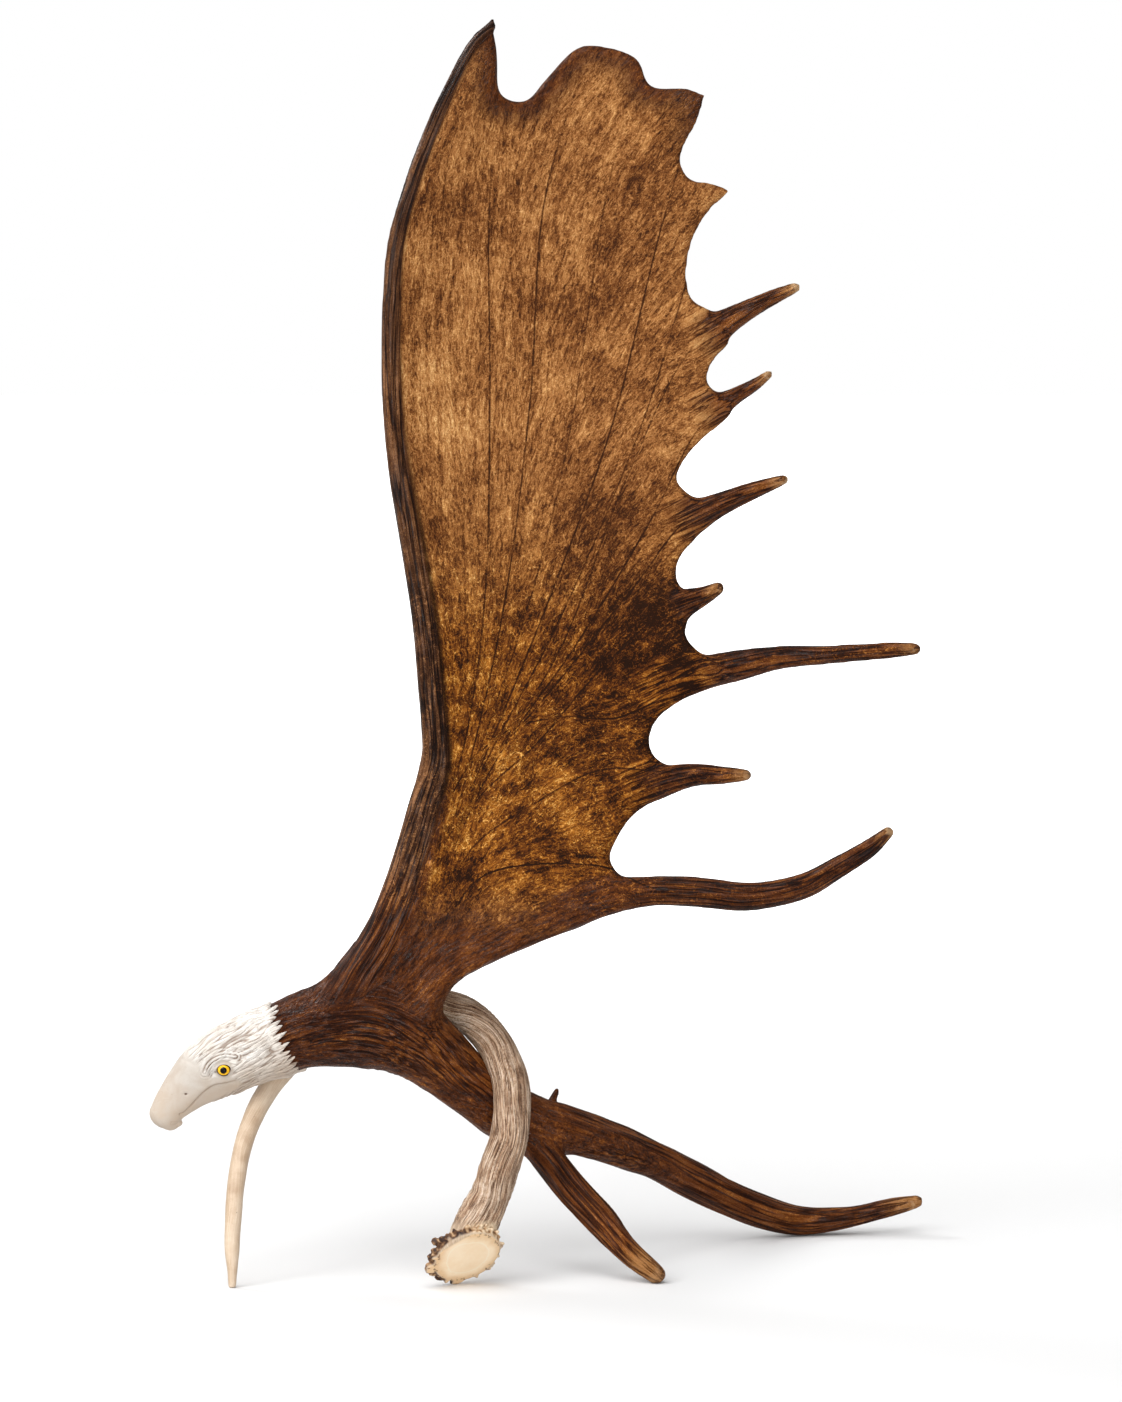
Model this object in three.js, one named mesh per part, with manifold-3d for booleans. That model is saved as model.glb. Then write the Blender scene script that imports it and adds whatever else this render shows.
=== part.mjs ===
// A carved moose antler: the shed palm stands on its two brow tines and on a pale deer antler
// that hooks through the fork, and the burr end is carved as an eagle's head with glass eyes.
// Millimetres, +Z up. X runs from the beak to the brow tines, Y runs away from the hollow face of the palm.
import * as THREE from "three";
import { mergeVertices } from "three/addons/utils/BufferGeometryUtils.js";
import Module from "manifold-3d";

const wasm = await Module();
wasm.setup();

// Driving dimensions
const gap = 0.3; // clearance between touching pieces
const palmHalfThickness = 6.5; // the web of the palm
const ridgeHalfThickness = 12; // the round beam along the palm's long edge
const rootHalfThickness = 24; // where the palm leaves the fork
const rimRadius = 7; // rounding of the palm's edge
const bowlDepth = 18; // how far the middle of the palm sinks behind its edges
const edgeForward = 6; // how far the edges stand in front of the neck's plane
const topCurl = 20; // how far the top leans back to the front
const eyeRadius = 5.2;
const eyeCentre = new THREE.Vector3(-253.3, 17.5, 156.8); // Y is mirrored for the other eye
const outlineLength = 900; // along the palm's long edge
const ridgeSpan = [14, 40]; // from the long edge, where the beam thins to the web
const ridgeTaper = 0.6; // share of the beam's extra thickness lost by the top
const rootSpan = [0.02, 0.3]; // share of the palm's height over which its root thins
const rimStart = 0.1; // share of the rim's rounding that is left at the very edge
const bowlMiddle = -20; // X of the deepest line of the bowl
const bowlReach = 115; // from there to where the bowl meets the plane of the edges
const bowlRise = [230, 420]; // heights between which the bowl deepens
const curlStart = 560; // height where the top begins to lean forward
const curlHeight = 380; // from there to the highest point
const webColumns = 10; // faces across the palm
const webRows = 64; // faces up the palm
const centring = new THREE.Vector3(13, -33.5, 0); // puts the bounding box's centre over the origin

// The palm's outline, as points [x, z] along each side of a four-sided patch that starts inside the fork.
const outline = {
  back: [
    [-186, 198], [-173, 220], [-163, 238], [-145, 268], [-132, 298], [-122, 328], [-113, 359], [-104, 389],
    [-104, 408], [-106, 434], [-111, 494], [-120, 554], [-129, 614], [-133, 673], [-132, 733], [-128, 777],
    [-115, 822], [-98, 866], [-84, 895], [-66, 926], [-50, 940],
  ],
  top: [
    [-50, 940], [-47, 912], [-44, 884], [-26, 880], [-12, 895], [12, 919],
    [24, 921], [56, 911], [66, 891], [92, 889], [107, 884],
  ], // one point for each column of the web
  front: [
    [-112, 168], [-94, 192], [-82, 218], [-49, 237], [-10, 253], [28, 268], [59, 289], [43, 303],
    [37, 314], [43, 329], [53, 344], [72, 360], [89, 378], [71, 391], [67, 404], [73, 419],
    [91, 434], [124, 454], [100, 474], [94, 483], [96, 495], [104, 506], [92, 517], [87, 525],
    [89, 540], [101, 555], [115, 573], [92, 592], [87, 599], [93, 614], [106, 629], [128, 651],
    [114, 666], [109, 674], [114, 688], [126, 703], [112, 725], [99, 732], [94, 748], [98, 777],
    [110, 798], [125, 814], [98, 820], [89, 836], [102, 866], [107, 884],
  ],
  root: [
    [-186, 198], [-150, 184], [-112, 168],
  ],
};

// Limbs, as stations [x, y, z, half height, half depth] along a centreline.
const limbs = {
  neck: [
    [-222, 0, 171, 27.5, 23], [-208, 0, 179, 28, 24], [-174, 0, 188.5, 33, 28], [-140, 1, 190, 37.5, 31],
    [-108, 4, 174, 30, 25], [-69, 12, 139, 23, 19], [-39, 20, 116, 23.5, 18], [-10, 27, 104, 20, 18],
    [6, 32, 96, 15, 13],
  ],
  stem: [
    [-168, 0, 192, 30, 27], [-144, 0, 216, 31, 27], [-121, 0, 250, 28, 24], [-110, 1, 290, 22, 19],
    [-103, 2, 325, 17, 15], [-98, 3, 358, 14, 13], [-93, 3, 398, 10, 10],
  ],
  browFront: [
    [-28, 21, 102, 14, 13], [-10, 12, 84, 13, 13], [8, -5, 64, 13.5, 13], [31, -22, 42, 13, 12.5],
    [51, -36, 21.5, 10.2, 10], [71, -43, 6.2, 7.5, 7.5],
  ],
  browRear: [
    [-30, 20, 113, 16, 15], [-4, 28, 106, 18, 17], [30, 48, 91, 17, 16], [70, 75, 71, 15.5, 15],
    [108, 98, 47.5, 15.2, 15], [148, 116, 25.5, 14, 14], [187, 133, 11.8, 12.6, 12.6],
    [222, 137, 12.6, 10.4, 10.4], [259, 139, 20.5, 7.8, 7.8], [280, 140, 25.2, 5.2, 5.2],
  ],
  spur: [[-10, 38, 119, 3, 3], [-6, 40, 124.5, 3.2, 3.2], [-3.5, 41, 130, 2.4, 2.4], [-3, 41, 133, 1.2, 1.2]],
  support: [
    [-67, -53, 36, 17, 17], [-63, -48, 45, 16.5, 16.5], [-59, -44, 54, 15.8, 15.8],
    [-53, -39, 65, 14.8, 14.8], [-45, -30, 88, 14.6, 14.6], [-39, -21, 107, 14.2, 14.2],
    [-37, -12, 125, 14, 14], [-37.5, -3, 141, 13.8, 13.8], [-43, 6, 158, 13.7, 13.7],
    [-56, 18, 178, 13.6, 13.6], [-76, 30, 193, 13, 13], [-112, 38, 200, 11.3, 11.3],
    [-146, 40, 197, 10.3, 10.3], [-180, 38, 179, 9.5, 9.5], [-205, 29, 156, 8.9, 8.9],
    [-222, 14, 136, 8.3, 8.3], [-231, 0, 121, 7.7, 7.7], [-239, -14, 100, 7, 7],
    [-243.5, -30, 75, 6.7, 6.7], [-245, -42, 53, 6.4, 6.4], [-245.5, -52, 29, 5.6, 5.6],
    [-245, -58, 12, 4, 4], [-245, -60, 1.4, 3.2, 3.2],
  ],
};
const tines = {
  long: [
    [40, 7, 428, 9, 4], [84, 0, 447, 14, 8], [112, -5, 456, 13, 9.5], [134, -9, 461, 12, 10],
    [163, -15, 467, 9.2, 8.5], [200, -26, 470, 7.6, 7.2], [237, -35, 473.5, 6.6, 6.4],
    [262, -41, 475.5, 4.6, 4.6],
  ],
  low: [
    [-112, 0, 208, 22, 20], [-84, 0, 237, 16, 16], [-48, 1, 252, 14.5, 13], [-12, 1, 268, 14, 11.5],
    [29, -1, 284, 15, 11], [67, -5, 290, 12, 11], [104, -11, 290, 12, 11.5], [141, -20, 288, 11.2, 11],
    [178, -30, 296, 10.2, 10], [207, -40, 313, 8.8, 8.6], [229, -48, 328, 7, 6.8], [242, -53, 340, 4.6, 4.6],
  ],
  short: [
    [
      [80, -4, 690, 8, 4], [104, -10, 705, 13.5, 8], [133, -14, 722.5, 9, 8], [155, -19, 734, 6.2, 6],
      [173, -24, 742, 4, 4],
    ],
    [
      [84, -3, 634, 8, 4], [105, -9, 648, 12, 7], [129, -13, 661.5, 7, 7], [144, -17, 670.5, 4.8, 4.8],
      [154, -20, 678, 3.2, 3.2],
    ],
    [
      [62, 3, 554, 8, 4], [90, -4, 567, 14, 8], [118, -10, 581, 9.6, 8.6], [140, -15, 590.5, 7.2, 7],
      [165, -21, 600, 4, 4],
    ],
    [
      [66, 2, 494, 7, 4], [90, -4, 506, 11, 7], [107, -8, 513, 7.2, 6.8], [117, -11, 518.5, 5, 5],
    ],
    [
      [30, 5, 352, 8, 4], [62, 0, 367, 13, 8], [97, -7, 378, 9.6, 8.6], [119, -12, 378.5, 7.2, 7],
      [138, -16, 379, 4.6, 4.6],
    ],
  ],
};
const carving = {
  head: [
    [-196, 0, 184, 28.5, 24.5], [-208, 0, 179, 28.5, 24.5], [-222, 0, 172.5, 29, 24],
    [-240, 0, 165, 28, 22.5], [-256, 0, 157, 27, 19.5], [-272, 0, 147.5, 23.5, 15.5],
    [-284, 0, 138, 18, 13], [-294, 0, 127.5, 14, 11.5], [-299.5, 0, 119.5, 12, 10.5],
  ],
  hook: [[-300, 0, 117, 8, 7], [-295, 0, 112, 5, 5], [-289, 0, 113, 2.6, 3]],
};
// The support's burr, with a sawn face: a profile of [distance behind the face, radius].
const burr = {
  face: [-69.5, -63, 23],
  inward: [-0.34, 0.73, 0.59],
  profile: [[0, 0], [0, 24], [2, 27], [5, 29.5], [9, 28.5], [12, 23], [16, 18], [20, 0]],
  foot: [[-73, -55, 10, 6, 6], [-76, -50, 4, 4.5, 4.5]], // the knob that the burr stands on
};

// Where the branching antler is split at its forks: a block on the branch's side of a plane.
const forks = {
  head: { point: [-211, 0, 177], along: [-0.92, 0, -0.39], width: 200, length: 200 },
  palm: { point: [-124, 0, 226], along: [0.4, 0, 0.917], width: 700, length: 900 },
  brow: { point: [-108, 0, 176], along: [0.78, 0, -0.62], width: 700, length: 700 },
  browFront: { point: [6, 3, 72], along: [0.5, -0.5, -0.7], width: 84, length: 200 },
  browRear: { point: [18, 40, 96], along: [0.8, 0.5, -0.33], width: 300, length: 400 },
  longTine: { point: [108, -5, 454], along: [0.97, -0.15, 0.2], width: 90, length: 300 },
  lowTine: { point: [56, -5, 288], along: [0.99, -0.1, 0.08], width: 110, length: 300 },
};

const stationStep = 20; // spreads a limb's sizes along their own curve
const smooth = (low, high, value) => THREE.MathUtils.smoothstep(value, low, high);

// How far behind the neck's plane the middle of the palm's web lies.
function palmDepth(x, z) {
  const across = (x - bowlMiddle) / bowlReach;
  const bowl = smooth(...bowlRise, z) * (bowlDepth * (1 - across * across) - edgeForward);
  const curl = topCurl * Math.max(0, (z - curlStart) / curlHeight) ** 2;
  return bowl - curl;
}

// A closed mesh as a manifold solid, facing outwards.
function solidOf(geometry) {
  geometry.deleteAttribute("uv");
  geometry.deleteAttribute("normal");
  const merged = mergeVertices(geometry, 1e-3);
  const vertProperties = new Float32Array(merged.attributes.position.array);
  const triVerts = new Uint32Array(merged.index.array);
  const made = new wasm.Manifold(new wasm.Mesh({ numProp: 3, vertProperties, triVerts }));
  if (made.volume() > 0) return made;
  return new wasm.Manifold(new wasm.Mesh({ numProp: 3, vertProperties, triVerts: triVerts.reverse() }));
}

const lineThrough = (points) => new THREE.CatmullRomCurve3(points, false, "centripetal");

// The palm's web: a box whose two faces follow the outline, thick along its beam and rounded at its rim.
function palmWeb() {
  const side = {};
  for (const [name, points] of Object.entries(outline)) {
    side[name] = lineThrough(points.map(([x, z]) => new THREE.Vector3(x, 0, z)));
    side[name].arcLengthDivisions = 2000;
  }
  const corners = [side.top.getPoint(0), side.top.getPoint(1), side.root.getPoint(0), side.root.getPoint(1)];
  const web = new THREE.BoxGeometry(1, 1, 1, webColumns, webRows, 1);
  const place = web.attributes.position;
  for (let i = 0; i < place.count; i++) {
    const column = place.getX(i) + 0.5;
    const u = 0.5 - 0.5 * Math.cos(Math.PI * column);
    const v = place.getY(i) + 0.5;
    const back = side.back.getPointAt(v);
    const front = side.front.getPointAt(v);
    const point = back.clone().lerp(front, u);
    point.add(side.root.getPointAt(u).lerp(side.top.getPoint(column), v));
    const upper = corners[0].clone().lerp(corners[1], u);
    point.sub(corners[2].clone().lerp(corners[3], u).lerp(upper, v));
    const width = back.distanceTo(front);
    const toRim = Math.min(u * width, (1 - u) * width, (1 - v) * outlineLength);
    const ridgeShare = (1 - smooth(...ridgeSpan, u * width)) * (1 - ridgeTaper * v);
    const ridge = (ridgeHalfThickness - palmHalfThickness) * ridgeShare;
    const root = (rootHalfThickness - palmHalfThickness) * (1 - smooth(...rootSpan, v));
    const rounding = Math.sqrt(1 - (1 - Math.min(1, rimStart + toRim / rimRadius)) ** 2);
    const half = (palmHalfThickness + ridge + root) * rounding;
    place.setXYZ(i, point.x, palmDepth(point.x, point.z) + Math.sign(place.getZ(i)) * half, point.z);
  }
  return solidOf(web);
}

// A tapered, bent limb with round ends: a straight lathed bar laid along its centreline.
function limb(stations, { sides = 10, stepsPerStation = 2, grow = 0 } = {}) {
  const line = lineThrough(stations.map(([x, y, z]) => new THREE.Vector3(x, y, z)));
  const sizeAt = ([, , , high, deep], i) => new THREE.Vector3(high + grow, deep + grow, stationStep * i);
  const size = lineThrough(stations.map(sizeAt));
  const rings = [];
  const addRing = (t, turn, end) => {
    const along = line.getTangent(t);
    const { x: high, y: deep } = size.getPoint(t);
    const centre = line.getPoint(t).addScaledVector(along, end * deep * Math.sin(turn));
    const shrink = turn === Math.PI / 2 ? 0 : Math.cos(turn);
    rings.push({ centre, along, high: high * shrink, deep: deep * shrink });
  };
  const capTurns = [Math.PI / 2, Math.PI / 3, Math.PI / 6];
  const steps = (stations.length - 1) * stepsPerStation;
  for (const turn of capTurns) addRing(0, turn, -1);
  for (let i = 0; i <= steps; i++) addRing(i / steps, 0, 0);
  for (const turn of capTurns.reverse()) addRing(1, turn, 1);
  const bar = new THREE.LatheGeometry(rings.map((ring, i) => new THREE.Vector2(ring.high, i)), sides);
  const place = bar.attributes.position;
  for (let i = 0; i < place.count; i++) {
    const { centre, along, high, deep } = rings[i % rings.length];
    const angle = (2 * Math.PI * Math.floor(i / rings.length)) / sides;
    const back = new THREE.Vector3(0, 1, 0).addScaledVector(along, -along.y).normalize();
    const up = new THREE.Vector3().crossVectors(along, back);
    back.multiplyScalar(deep * Math.sin(angle)).addScaledVector(up, high * Math.cos(angle)).add(centre);
    place.setXYZ(i, back.x, back.y, back.z);
  }
  return solidOf(bar);
}

// The block on a fork's branch side, started early or late by inset.
function beyond({ point, along, width, length }, inset = 0) {
  const block = new THREE.BoxGeometry(width - 2 * inset, width - 2 * inset, length);
  block.translate(0, 0, length / 2 + inset);
  const normal = new THREE.Vector3(...along).normalize();
  block.applyQuaternion(new THREE.Quaternion().setFromUnitVectors(new THREE.Vector3(0, 0, 1), normal));
  block.translate(...point);
  return solidOf(block);
}

const largest = (solid) => solid.decompose().sort((a, b) => b.volume() - a.volume())[0];

// Splits a solid at a fork into [branch, rest], with a gap between them.
function splitAt(whole, fork) {
  return [largest(whole.intersect(beyond(fork))), largest(whole.subtract(beyond(fork, -gap)))];
}

// All that lies under the floor, to be cut away.
const floorBlock = () => solidOf(new THREE.BoxGeometry(2000, 2000, 200).translate(0, 0, -100));

function eyeBall(side, grow = 0) {
  const ball = new THREE.SphereGeometry(eyeRadius + grow, 12, 8);
  return solidOf(ball.translate(eyeCentre.x, side * eyeCentre.y, eyeCentre.z));
}

const brown = { color: 0x5a351b, roughness: 0.55, metalness: 0 };
const bleached = { color: 0xe4dcd2, roughness: 0.6, metalness: 0 };
const pale = { color: 0xc4a887, roughness: 0.6, metalness: 0 };
const glass = { color: 0xf0a010, roughness: 0.1, metalness: 0 };

const antler = new THREE.Group();
antler.position.copy(centring);

function addPiece(name, solid, look) {
  const { vertProperties, triVerts } = solid.getMesh();
  const geometry = new THREE.BufferGeometry();
  geometry.setAttribute("position", new THREE.BufferAttribute(vertProperties, 3));
  geometry.setIndex(new THREE.BufferAttribute(triVerts, 1));
  geometry.computeVertexNormals();
  const mesh = new THREE.Mesh(geometry, new THREE.MeshStandardMaterial(look));
  mesh.name = name;
  antler.add(mesh);
}

// The moose antler in one solid, then split at its forks.
let moose = palmWeb();
for (const stations of [limbs.neck, limbs.stem]) moose = moose.add(limb(stations, { sides: 12 }));
const branches = [limbs.browFront, limbs.browRear, limbs.spur, tines.long, tines.low];
for (const stations of branches) moose = moose.add(limb(stations));
for (const stations of tines.short) moose = moose.add(limb(stations, { sides: 8 }));
moose = moose.subtract(floorBlock());

const [, body] = splitAt(moose, forks.head);
const [palmAndTines, lower] = splitAt(body, forks.palm);
const [brows, neck] = splitAt(lower, forks.brow);
const [browFront, browRest] = splitAt(brows, forks.browFront);
const [browRear, browBeam] = splitAt(browRest, forks.browRear);
const [longTine, palmRest] = splitAt(palmAndTines, forks.longTine);
const [lowTine, palm] = splitAt(palmRest, forks.lowTine);
const mooseParts = {
  neck_beam: neck, palm, palm_tine_long: longTine, palm_tine_low: lowTine,
  brow_beam: browBeam, brow_tine_front: browFront, brow_tine_rear: browRear,
};
for (const [name, solid] of Object.entries(mooseParts)) addPiece(name, solid, brown);

// The carved head, with a socket for each eye.
let head = limb(carving.head, { sides: 14 }).add(limb(carving.hook, { sides: 8 }));
head = head.intersect(beyond(forks.head, gap));
for (const [name, side] of [["eye_left", -1], ["eye_right", 1]]) {
  head = head.subtract(eyeBall(side, gap));
  addPiece(name, eyeBall(side), glass);
}
addPiece("eagle_head", largest(head), bleached);

// The deer antler that props the neck, hollowed a little where the neck rests on it.
const discProfile = burr.profile.map(([behind, radius]) => new THREE.Vector2(radius, behind));
const disc = new THREE.LatheGeometry(discProfile, 20);
const inward = new THREE.Vector3(...burr.inward).normalize();
const tilt = new THREE.Quaternion().setFromUnitVectors(new THREE.Vector3(0, 1, 0), inward);
disc.applyQuaternion(tilt).translate(...burr.face);
let support = limb(limbs.support, { stepsPerStation: 1 });
support = support.add(solidOf(disc)).add(limb(burr.foot, { sides: 8 }));
support = support.subtract(limb(limbs.neck, { sides: 12, grow: gap })).subtract(floorBlock());
addPiece("support_antler", largest(support), pale);

export default antler;
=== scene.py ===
# A stained moose antler, carved as an eagle's head at its burr end and propped on a pale deer antler.
# Shapes are worked out in millimetres on the antler's own centreline, then laid in the frame in metres.
import math

import bpy
import numpy as np
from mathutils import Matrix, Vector, noise


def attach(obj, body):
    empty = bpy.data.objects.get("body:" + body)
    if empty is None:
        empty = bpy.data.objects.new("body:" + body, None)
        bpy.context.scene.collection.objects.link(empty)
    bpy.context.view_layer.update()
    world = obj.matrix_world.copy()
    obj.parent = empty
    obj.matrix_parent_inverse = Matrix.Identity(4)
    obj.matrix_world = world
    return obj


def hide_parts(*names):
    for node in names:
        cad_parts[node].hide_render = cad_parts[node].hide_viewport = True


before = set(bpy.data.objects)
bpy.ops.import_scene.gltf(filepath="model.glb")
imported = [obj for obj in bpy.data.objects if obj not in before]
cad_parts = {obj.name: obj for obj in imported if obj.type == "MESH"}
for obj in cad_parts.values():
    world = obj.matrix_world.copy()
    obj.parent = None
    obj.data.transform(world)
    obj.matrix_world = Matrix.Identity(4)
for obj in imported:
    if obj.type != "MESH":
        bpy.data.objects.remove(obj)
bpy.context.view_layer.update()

mm = 0.001
centring = np.array([13.0, -33.5, 0.0])  # from the antler's own centreline to the frame
capRings = 4  # rings in the rounded end of a limb
stationGap = 20.0  # spacing of the stations while their sizes are smoothed


# picking, joining and reading pieces
def clearSelection():
    if bpy.context.object and bpy.context.object.mode != "OBJECT":
        bpy.ops.object.mode_set(mode="OBJECT")
    bpy.ops.object.select_all(action="DESELECT")


def pickOnly(*pieces):
    clearSelection()
    for piece in pieces:
        piece.select_set(True)
    bpy.context.view_layer.objects.active = pieces[0]


def applyModifier(piece, kind, **settings):
    pickOnly(piece)
    modifier = piece.modifiers.new(kind.lower(), kind)
    for name, value in settings.items():
        setattr(modifier, name, value)
    bpy.ops.object.modifier_apply(modifier=modifier.name)


def joinAndRemesh(pieces, name, voxel):
    pickOnly(*pieces)
    bpy.ops.object.join()
    whole = pieces[0]
    whole.name = whole.data.name = name
    applyModifier(whole, "REMESH", mode="VOXEL", voxel_size=voxel, adaptivity=0, use_smooth_shade=True)
    return whole


def readVectors(items, name):
    values = np.empty(len(items) * 3)
    items.foreach_get(name, values)
    return values.reshape(-1, 3)


def readPoints(piece):
    return readVectors(piece.data.vertices, "co")


def readNormals(piece):
    return readVectors(piece.data.vertices, "normal")


def writePoints(piece, points):
    piece.data.vertices.foreach_set("co", np.ascontiguousarray(points, dtype=float).ravel())
    piece.data.update()


def storeAttribute(piece, name, *columns):
    # one value for each point, or three side by side
    values = np.column_stack(columns)
    kind, field = ("FLOAT", "value") if values.shape[1] == 1 else ("FLOAT_VECTOR", "vector")
    layer = piece.data.attributes.new(name, kind, "POINT")
    layer.data.foreach_set(field, values.astype(np.float32).ravel())


def shadeSmooth(piece):
    piece.data.polygons.foreach_set("use_smooth", np.ones(len(piece.data.polygons), bool))


def layInFrame(piece):
    # millimetres on the centreline to metres in the frame
    writePoints(piece, (readPoints(piece) + centring) * mm)


def dressPiece(piece, name, node, material):
    piece.name = piece.data.name = name
    piece.data.materials.clear()
    piece.data.materials.append(material)
    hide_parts(node)
    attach(piece, "root")


# values over many points
def smoothStep(low, high, value):
    t = np.clip((value - low) / (high - low), 0, 1)
    return t * t * (3 - 2 * t)


def fadeOut(low, high, value):
    return 1 - smoothStep(low, high, value)


def bell(value, width):
    return np.exp(-((value / width) ** 2))


def unit(vectors):
    return vectors / np.maximum(np.linalg.norm(vectors, axis=-1, keepdims=True), 1e-9)


def softNoise(points, size, seed=0.0):
    # Perlin noise over many points, features about size across, from -1 to 1
    shifted = points / size + seed
    return np.array([noise.noise(p) for p in shifted])


def relax(piece, strength, rounds):
    # evens the surface out, by strength (one number, or one for each point)
    points = readPoints(piece)
    edges = np.empty(len(piece.data.edges) * 2, np.int32)
    piece.data.edges.foreach_get("vertices", edges)
    first, second = edges.reshape(-1, 2).T
    count = np.bincount(edges, minlength=len(points))[:, None]
    amount = strength[:, None] if isinstance(strength, np.ndarray) else strength
    for _ in range(rounds):
        around = np.empty_like(points)
        for axis in range(3):
            around[:, axis] = np.bincount(first, points[second, axis], len(points))
            around[:, axis] += np.bincount(second, points[first, axis], len(points))
        points += amount * (around / np.maximum(count, 1) - points)
    writePoints(piece, points)


# curves and limbs
def curveAt(points, t):
    # centripetal Catmull-Rom, t from 0 to 1 over all the points
    points = np.asarray(points, float)
    padded = np.vstack([2 * points[0] - points[1], points, 2 * points[-1] - points[-2]])
    place = np.clip(t, 0, 1) * (len(points) - 1)
    cell = np.minimum(place.astype(int), len(points) - 2)
    w = (place - cell)[:, None]
    a, b, c, d = (padded[cell + k] for k in range(4))
    before, here, after = (
        np.maximum(((q - p) ** 2).sum(1, keepdims=True), 1e-12) ** 0.25 for p, q in ((a, b), (b, c), (c, d))
    )
    leave = here * ((b - a) / before - (c - a) / (before + here) + (c - b) / here)
    arrive = here * ((c - b) / here - (d - b) / (here + after) + (d - c) / after)
    return b + leave * w + (3 * (c - b) - 2 * leave - arrive) * w**2 + (2 * (b - c) + leave + arrive) * w**3


def lengthSoFar(line):
    return np.concatenate([[0], np.cumsum(np.linalg.norm(np.diff(line, axis=0), axis=1))])


def evenAt(points, share):
    # the same curve by share of its length
    fine = np.linspace(0, 1, 2001)
    run = lengthSoFar(curveAt(points, fine))
    return curveAt(points, np.interp(share, run / run[-1], fine))


def evenPoints(points, spacing):
    length = lengthSoFar(np.asarray(points, float))[-1]
    return evenAt(points, np.linspace(0, 1, max(3, int(length / spacing))))


def nearestOn(line, points):
    # index of the nearest point of a line, and the distance to it
    best = np.full(len(points), 1e9)
    index = np.zeros(len(points), int)
    for i, place in enumerate(line):
        away = ((points - place) ** 2).sum(1)
        closer = away < best
        best[closer] = away[closer]
        index[closer] = i
    return index, np.sqrt(best)


def besideLine(line, plane):
    # nearest point's index, distance, and side (1 on the right) of a line in the plane
    index, away = nearestOn(line, plane)
    tangent = unit(np.gradient(line, axis=0))[index]
    offset = plane - line[index]
    crossed = tangent[:, 1] * offset[:, 0] - tangent[:, 0] * offset[:, 1]
    inner = (index > 0) & (index < len(line) - 1)
    return index, np.where(inner, np.abs(crossed), away), np.sign(crossed)


def smoothSizes(sizes, share):
    # a limb's sizes at its stations, carried smoothly from one to the next
    spaced = np.column_stack([sizes, stationGap * np.arange(len(sizes))])
    return curveAt(spaced, share)[:, :-1]


def acrossWays(along):
    # the ways up and back, square to a direction
    back = unit(np.array([0, 1, 0]) - along * along[:, 1:2])
    return np.cross(along, back), back


def limbAxes(stations, share):
    # a limb's centreline, its sizes, its direction, the ways up and back, and the length so far
    stations = np.asarray(stations, float)
    line = curveAt(stations[:, :3], share)
    along = unit(np.gradient(line, axis=0))
    return line, smoothSizes(stations[:, 3:5], share), along, *acrossWays(along), lengthSoFar(line)


def limbFrame(points, stations):
    # distance from a limb's surface, and the place across and along it as if it were straight
    line, sizes, along, up, back, run = limbAxes(stations, np.linspace(0, 1, 160))
    index, _ = nearestOn(line, points)
    offset = points - line[index]
    high, deep = (offset * up[index]).sum(1), (offset * back[index]).sum(1)
    far = np.sqrt((high / sizes[index, 0]) ** 2 + (deep / sizes[index, 1]) ** 2)
    away = (far - 1) * sizes[index].mean(1)
    return away, np.column_stack([high, deep, run[index] + (offset * along[index]).sum(1)])


def addBall(segments, rings):
    # a ball primitive, each point's share of the way from pole to pole, and its angle round
    clearSelection()
    bpy.ops.mesh.primitive_uv_sphere_add(segments=segments, ring_count=rings, radius=1)
    ball = bpy.context.object
    x, y, z = readPoints(ball).T
    return ball, np.arccos(np.clip(z, -1, 1)) / math.pi, np.arctan2(y, x)


def addLimb(stations, sides=40, spacing=2.5):
    # a ball drawn out along stations of x, y, z, half height, half depth
    stations = np.asarray(stations, float)
    steps = max(4, int(lengthSoFar(stations[:, :3])[-1] / spacing))
    toBody = capRings + 1
    limb, down, angle = addBall(sides, steps + 2 * toBody)
    ring = np.rint(down * (steps + 2 * toBody))
    share = np.clip((ring - toBody) / steps, 0, 1)
    fromFirst, fromLast = toBody - ring, ring - toBody - steps
    capTurn = np.maximum(np.maximum(fromFirst, fromLast), 0) / toBody * math.pi / 2
    end = np.where(fromFirst > 0, -1, 1)
    high, deep = smoothSizes(stations[:, 3:5], share).T
    along = unit(curveAt(stations[:, :3], share + 1e-4) - curveAt(stations[:, :3], share - 1e-4))
    centre = curveAt(stations[:, :3], share) + along * (end * deep * np.sin(capTurn))[:, None]
    up, back = acrossWays(along)
    shrink = np.cos(capTurn)
    across = up * (high * shrink * np.cos(angle))[:, None]
    writePoints(limb, centre + across + back * (deep * shrink * np.sin(angle))[:, None])
    return limb


# nodes of the materials
def feed(tree, socket, value):
    # an output is wired to the socket, and a number, vector or colour written into it
    if isinstance(value, Signal):
        tree.links.new(value.socket, socket)
    elif value is not None:
        socket.default_value = (*value, 1) if socket.type == "RGBA" else value


def addNode(tree, kind, *values, output=0, **settings):
    # a node with its sockets filled in by order or by name, returned as one of its outputs
    node = tree.nodes.new(kind)
    for name, value in settings.items():
        if name in node.inputs:
            feed(tree, node.inputs[name], value)
        else:
            setattr(node, name, value)
    for socket, value in zip(node.inputs, values):
        feed(tree, socket, value)
    return Signal(tree, node.outputs[output])


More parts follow.
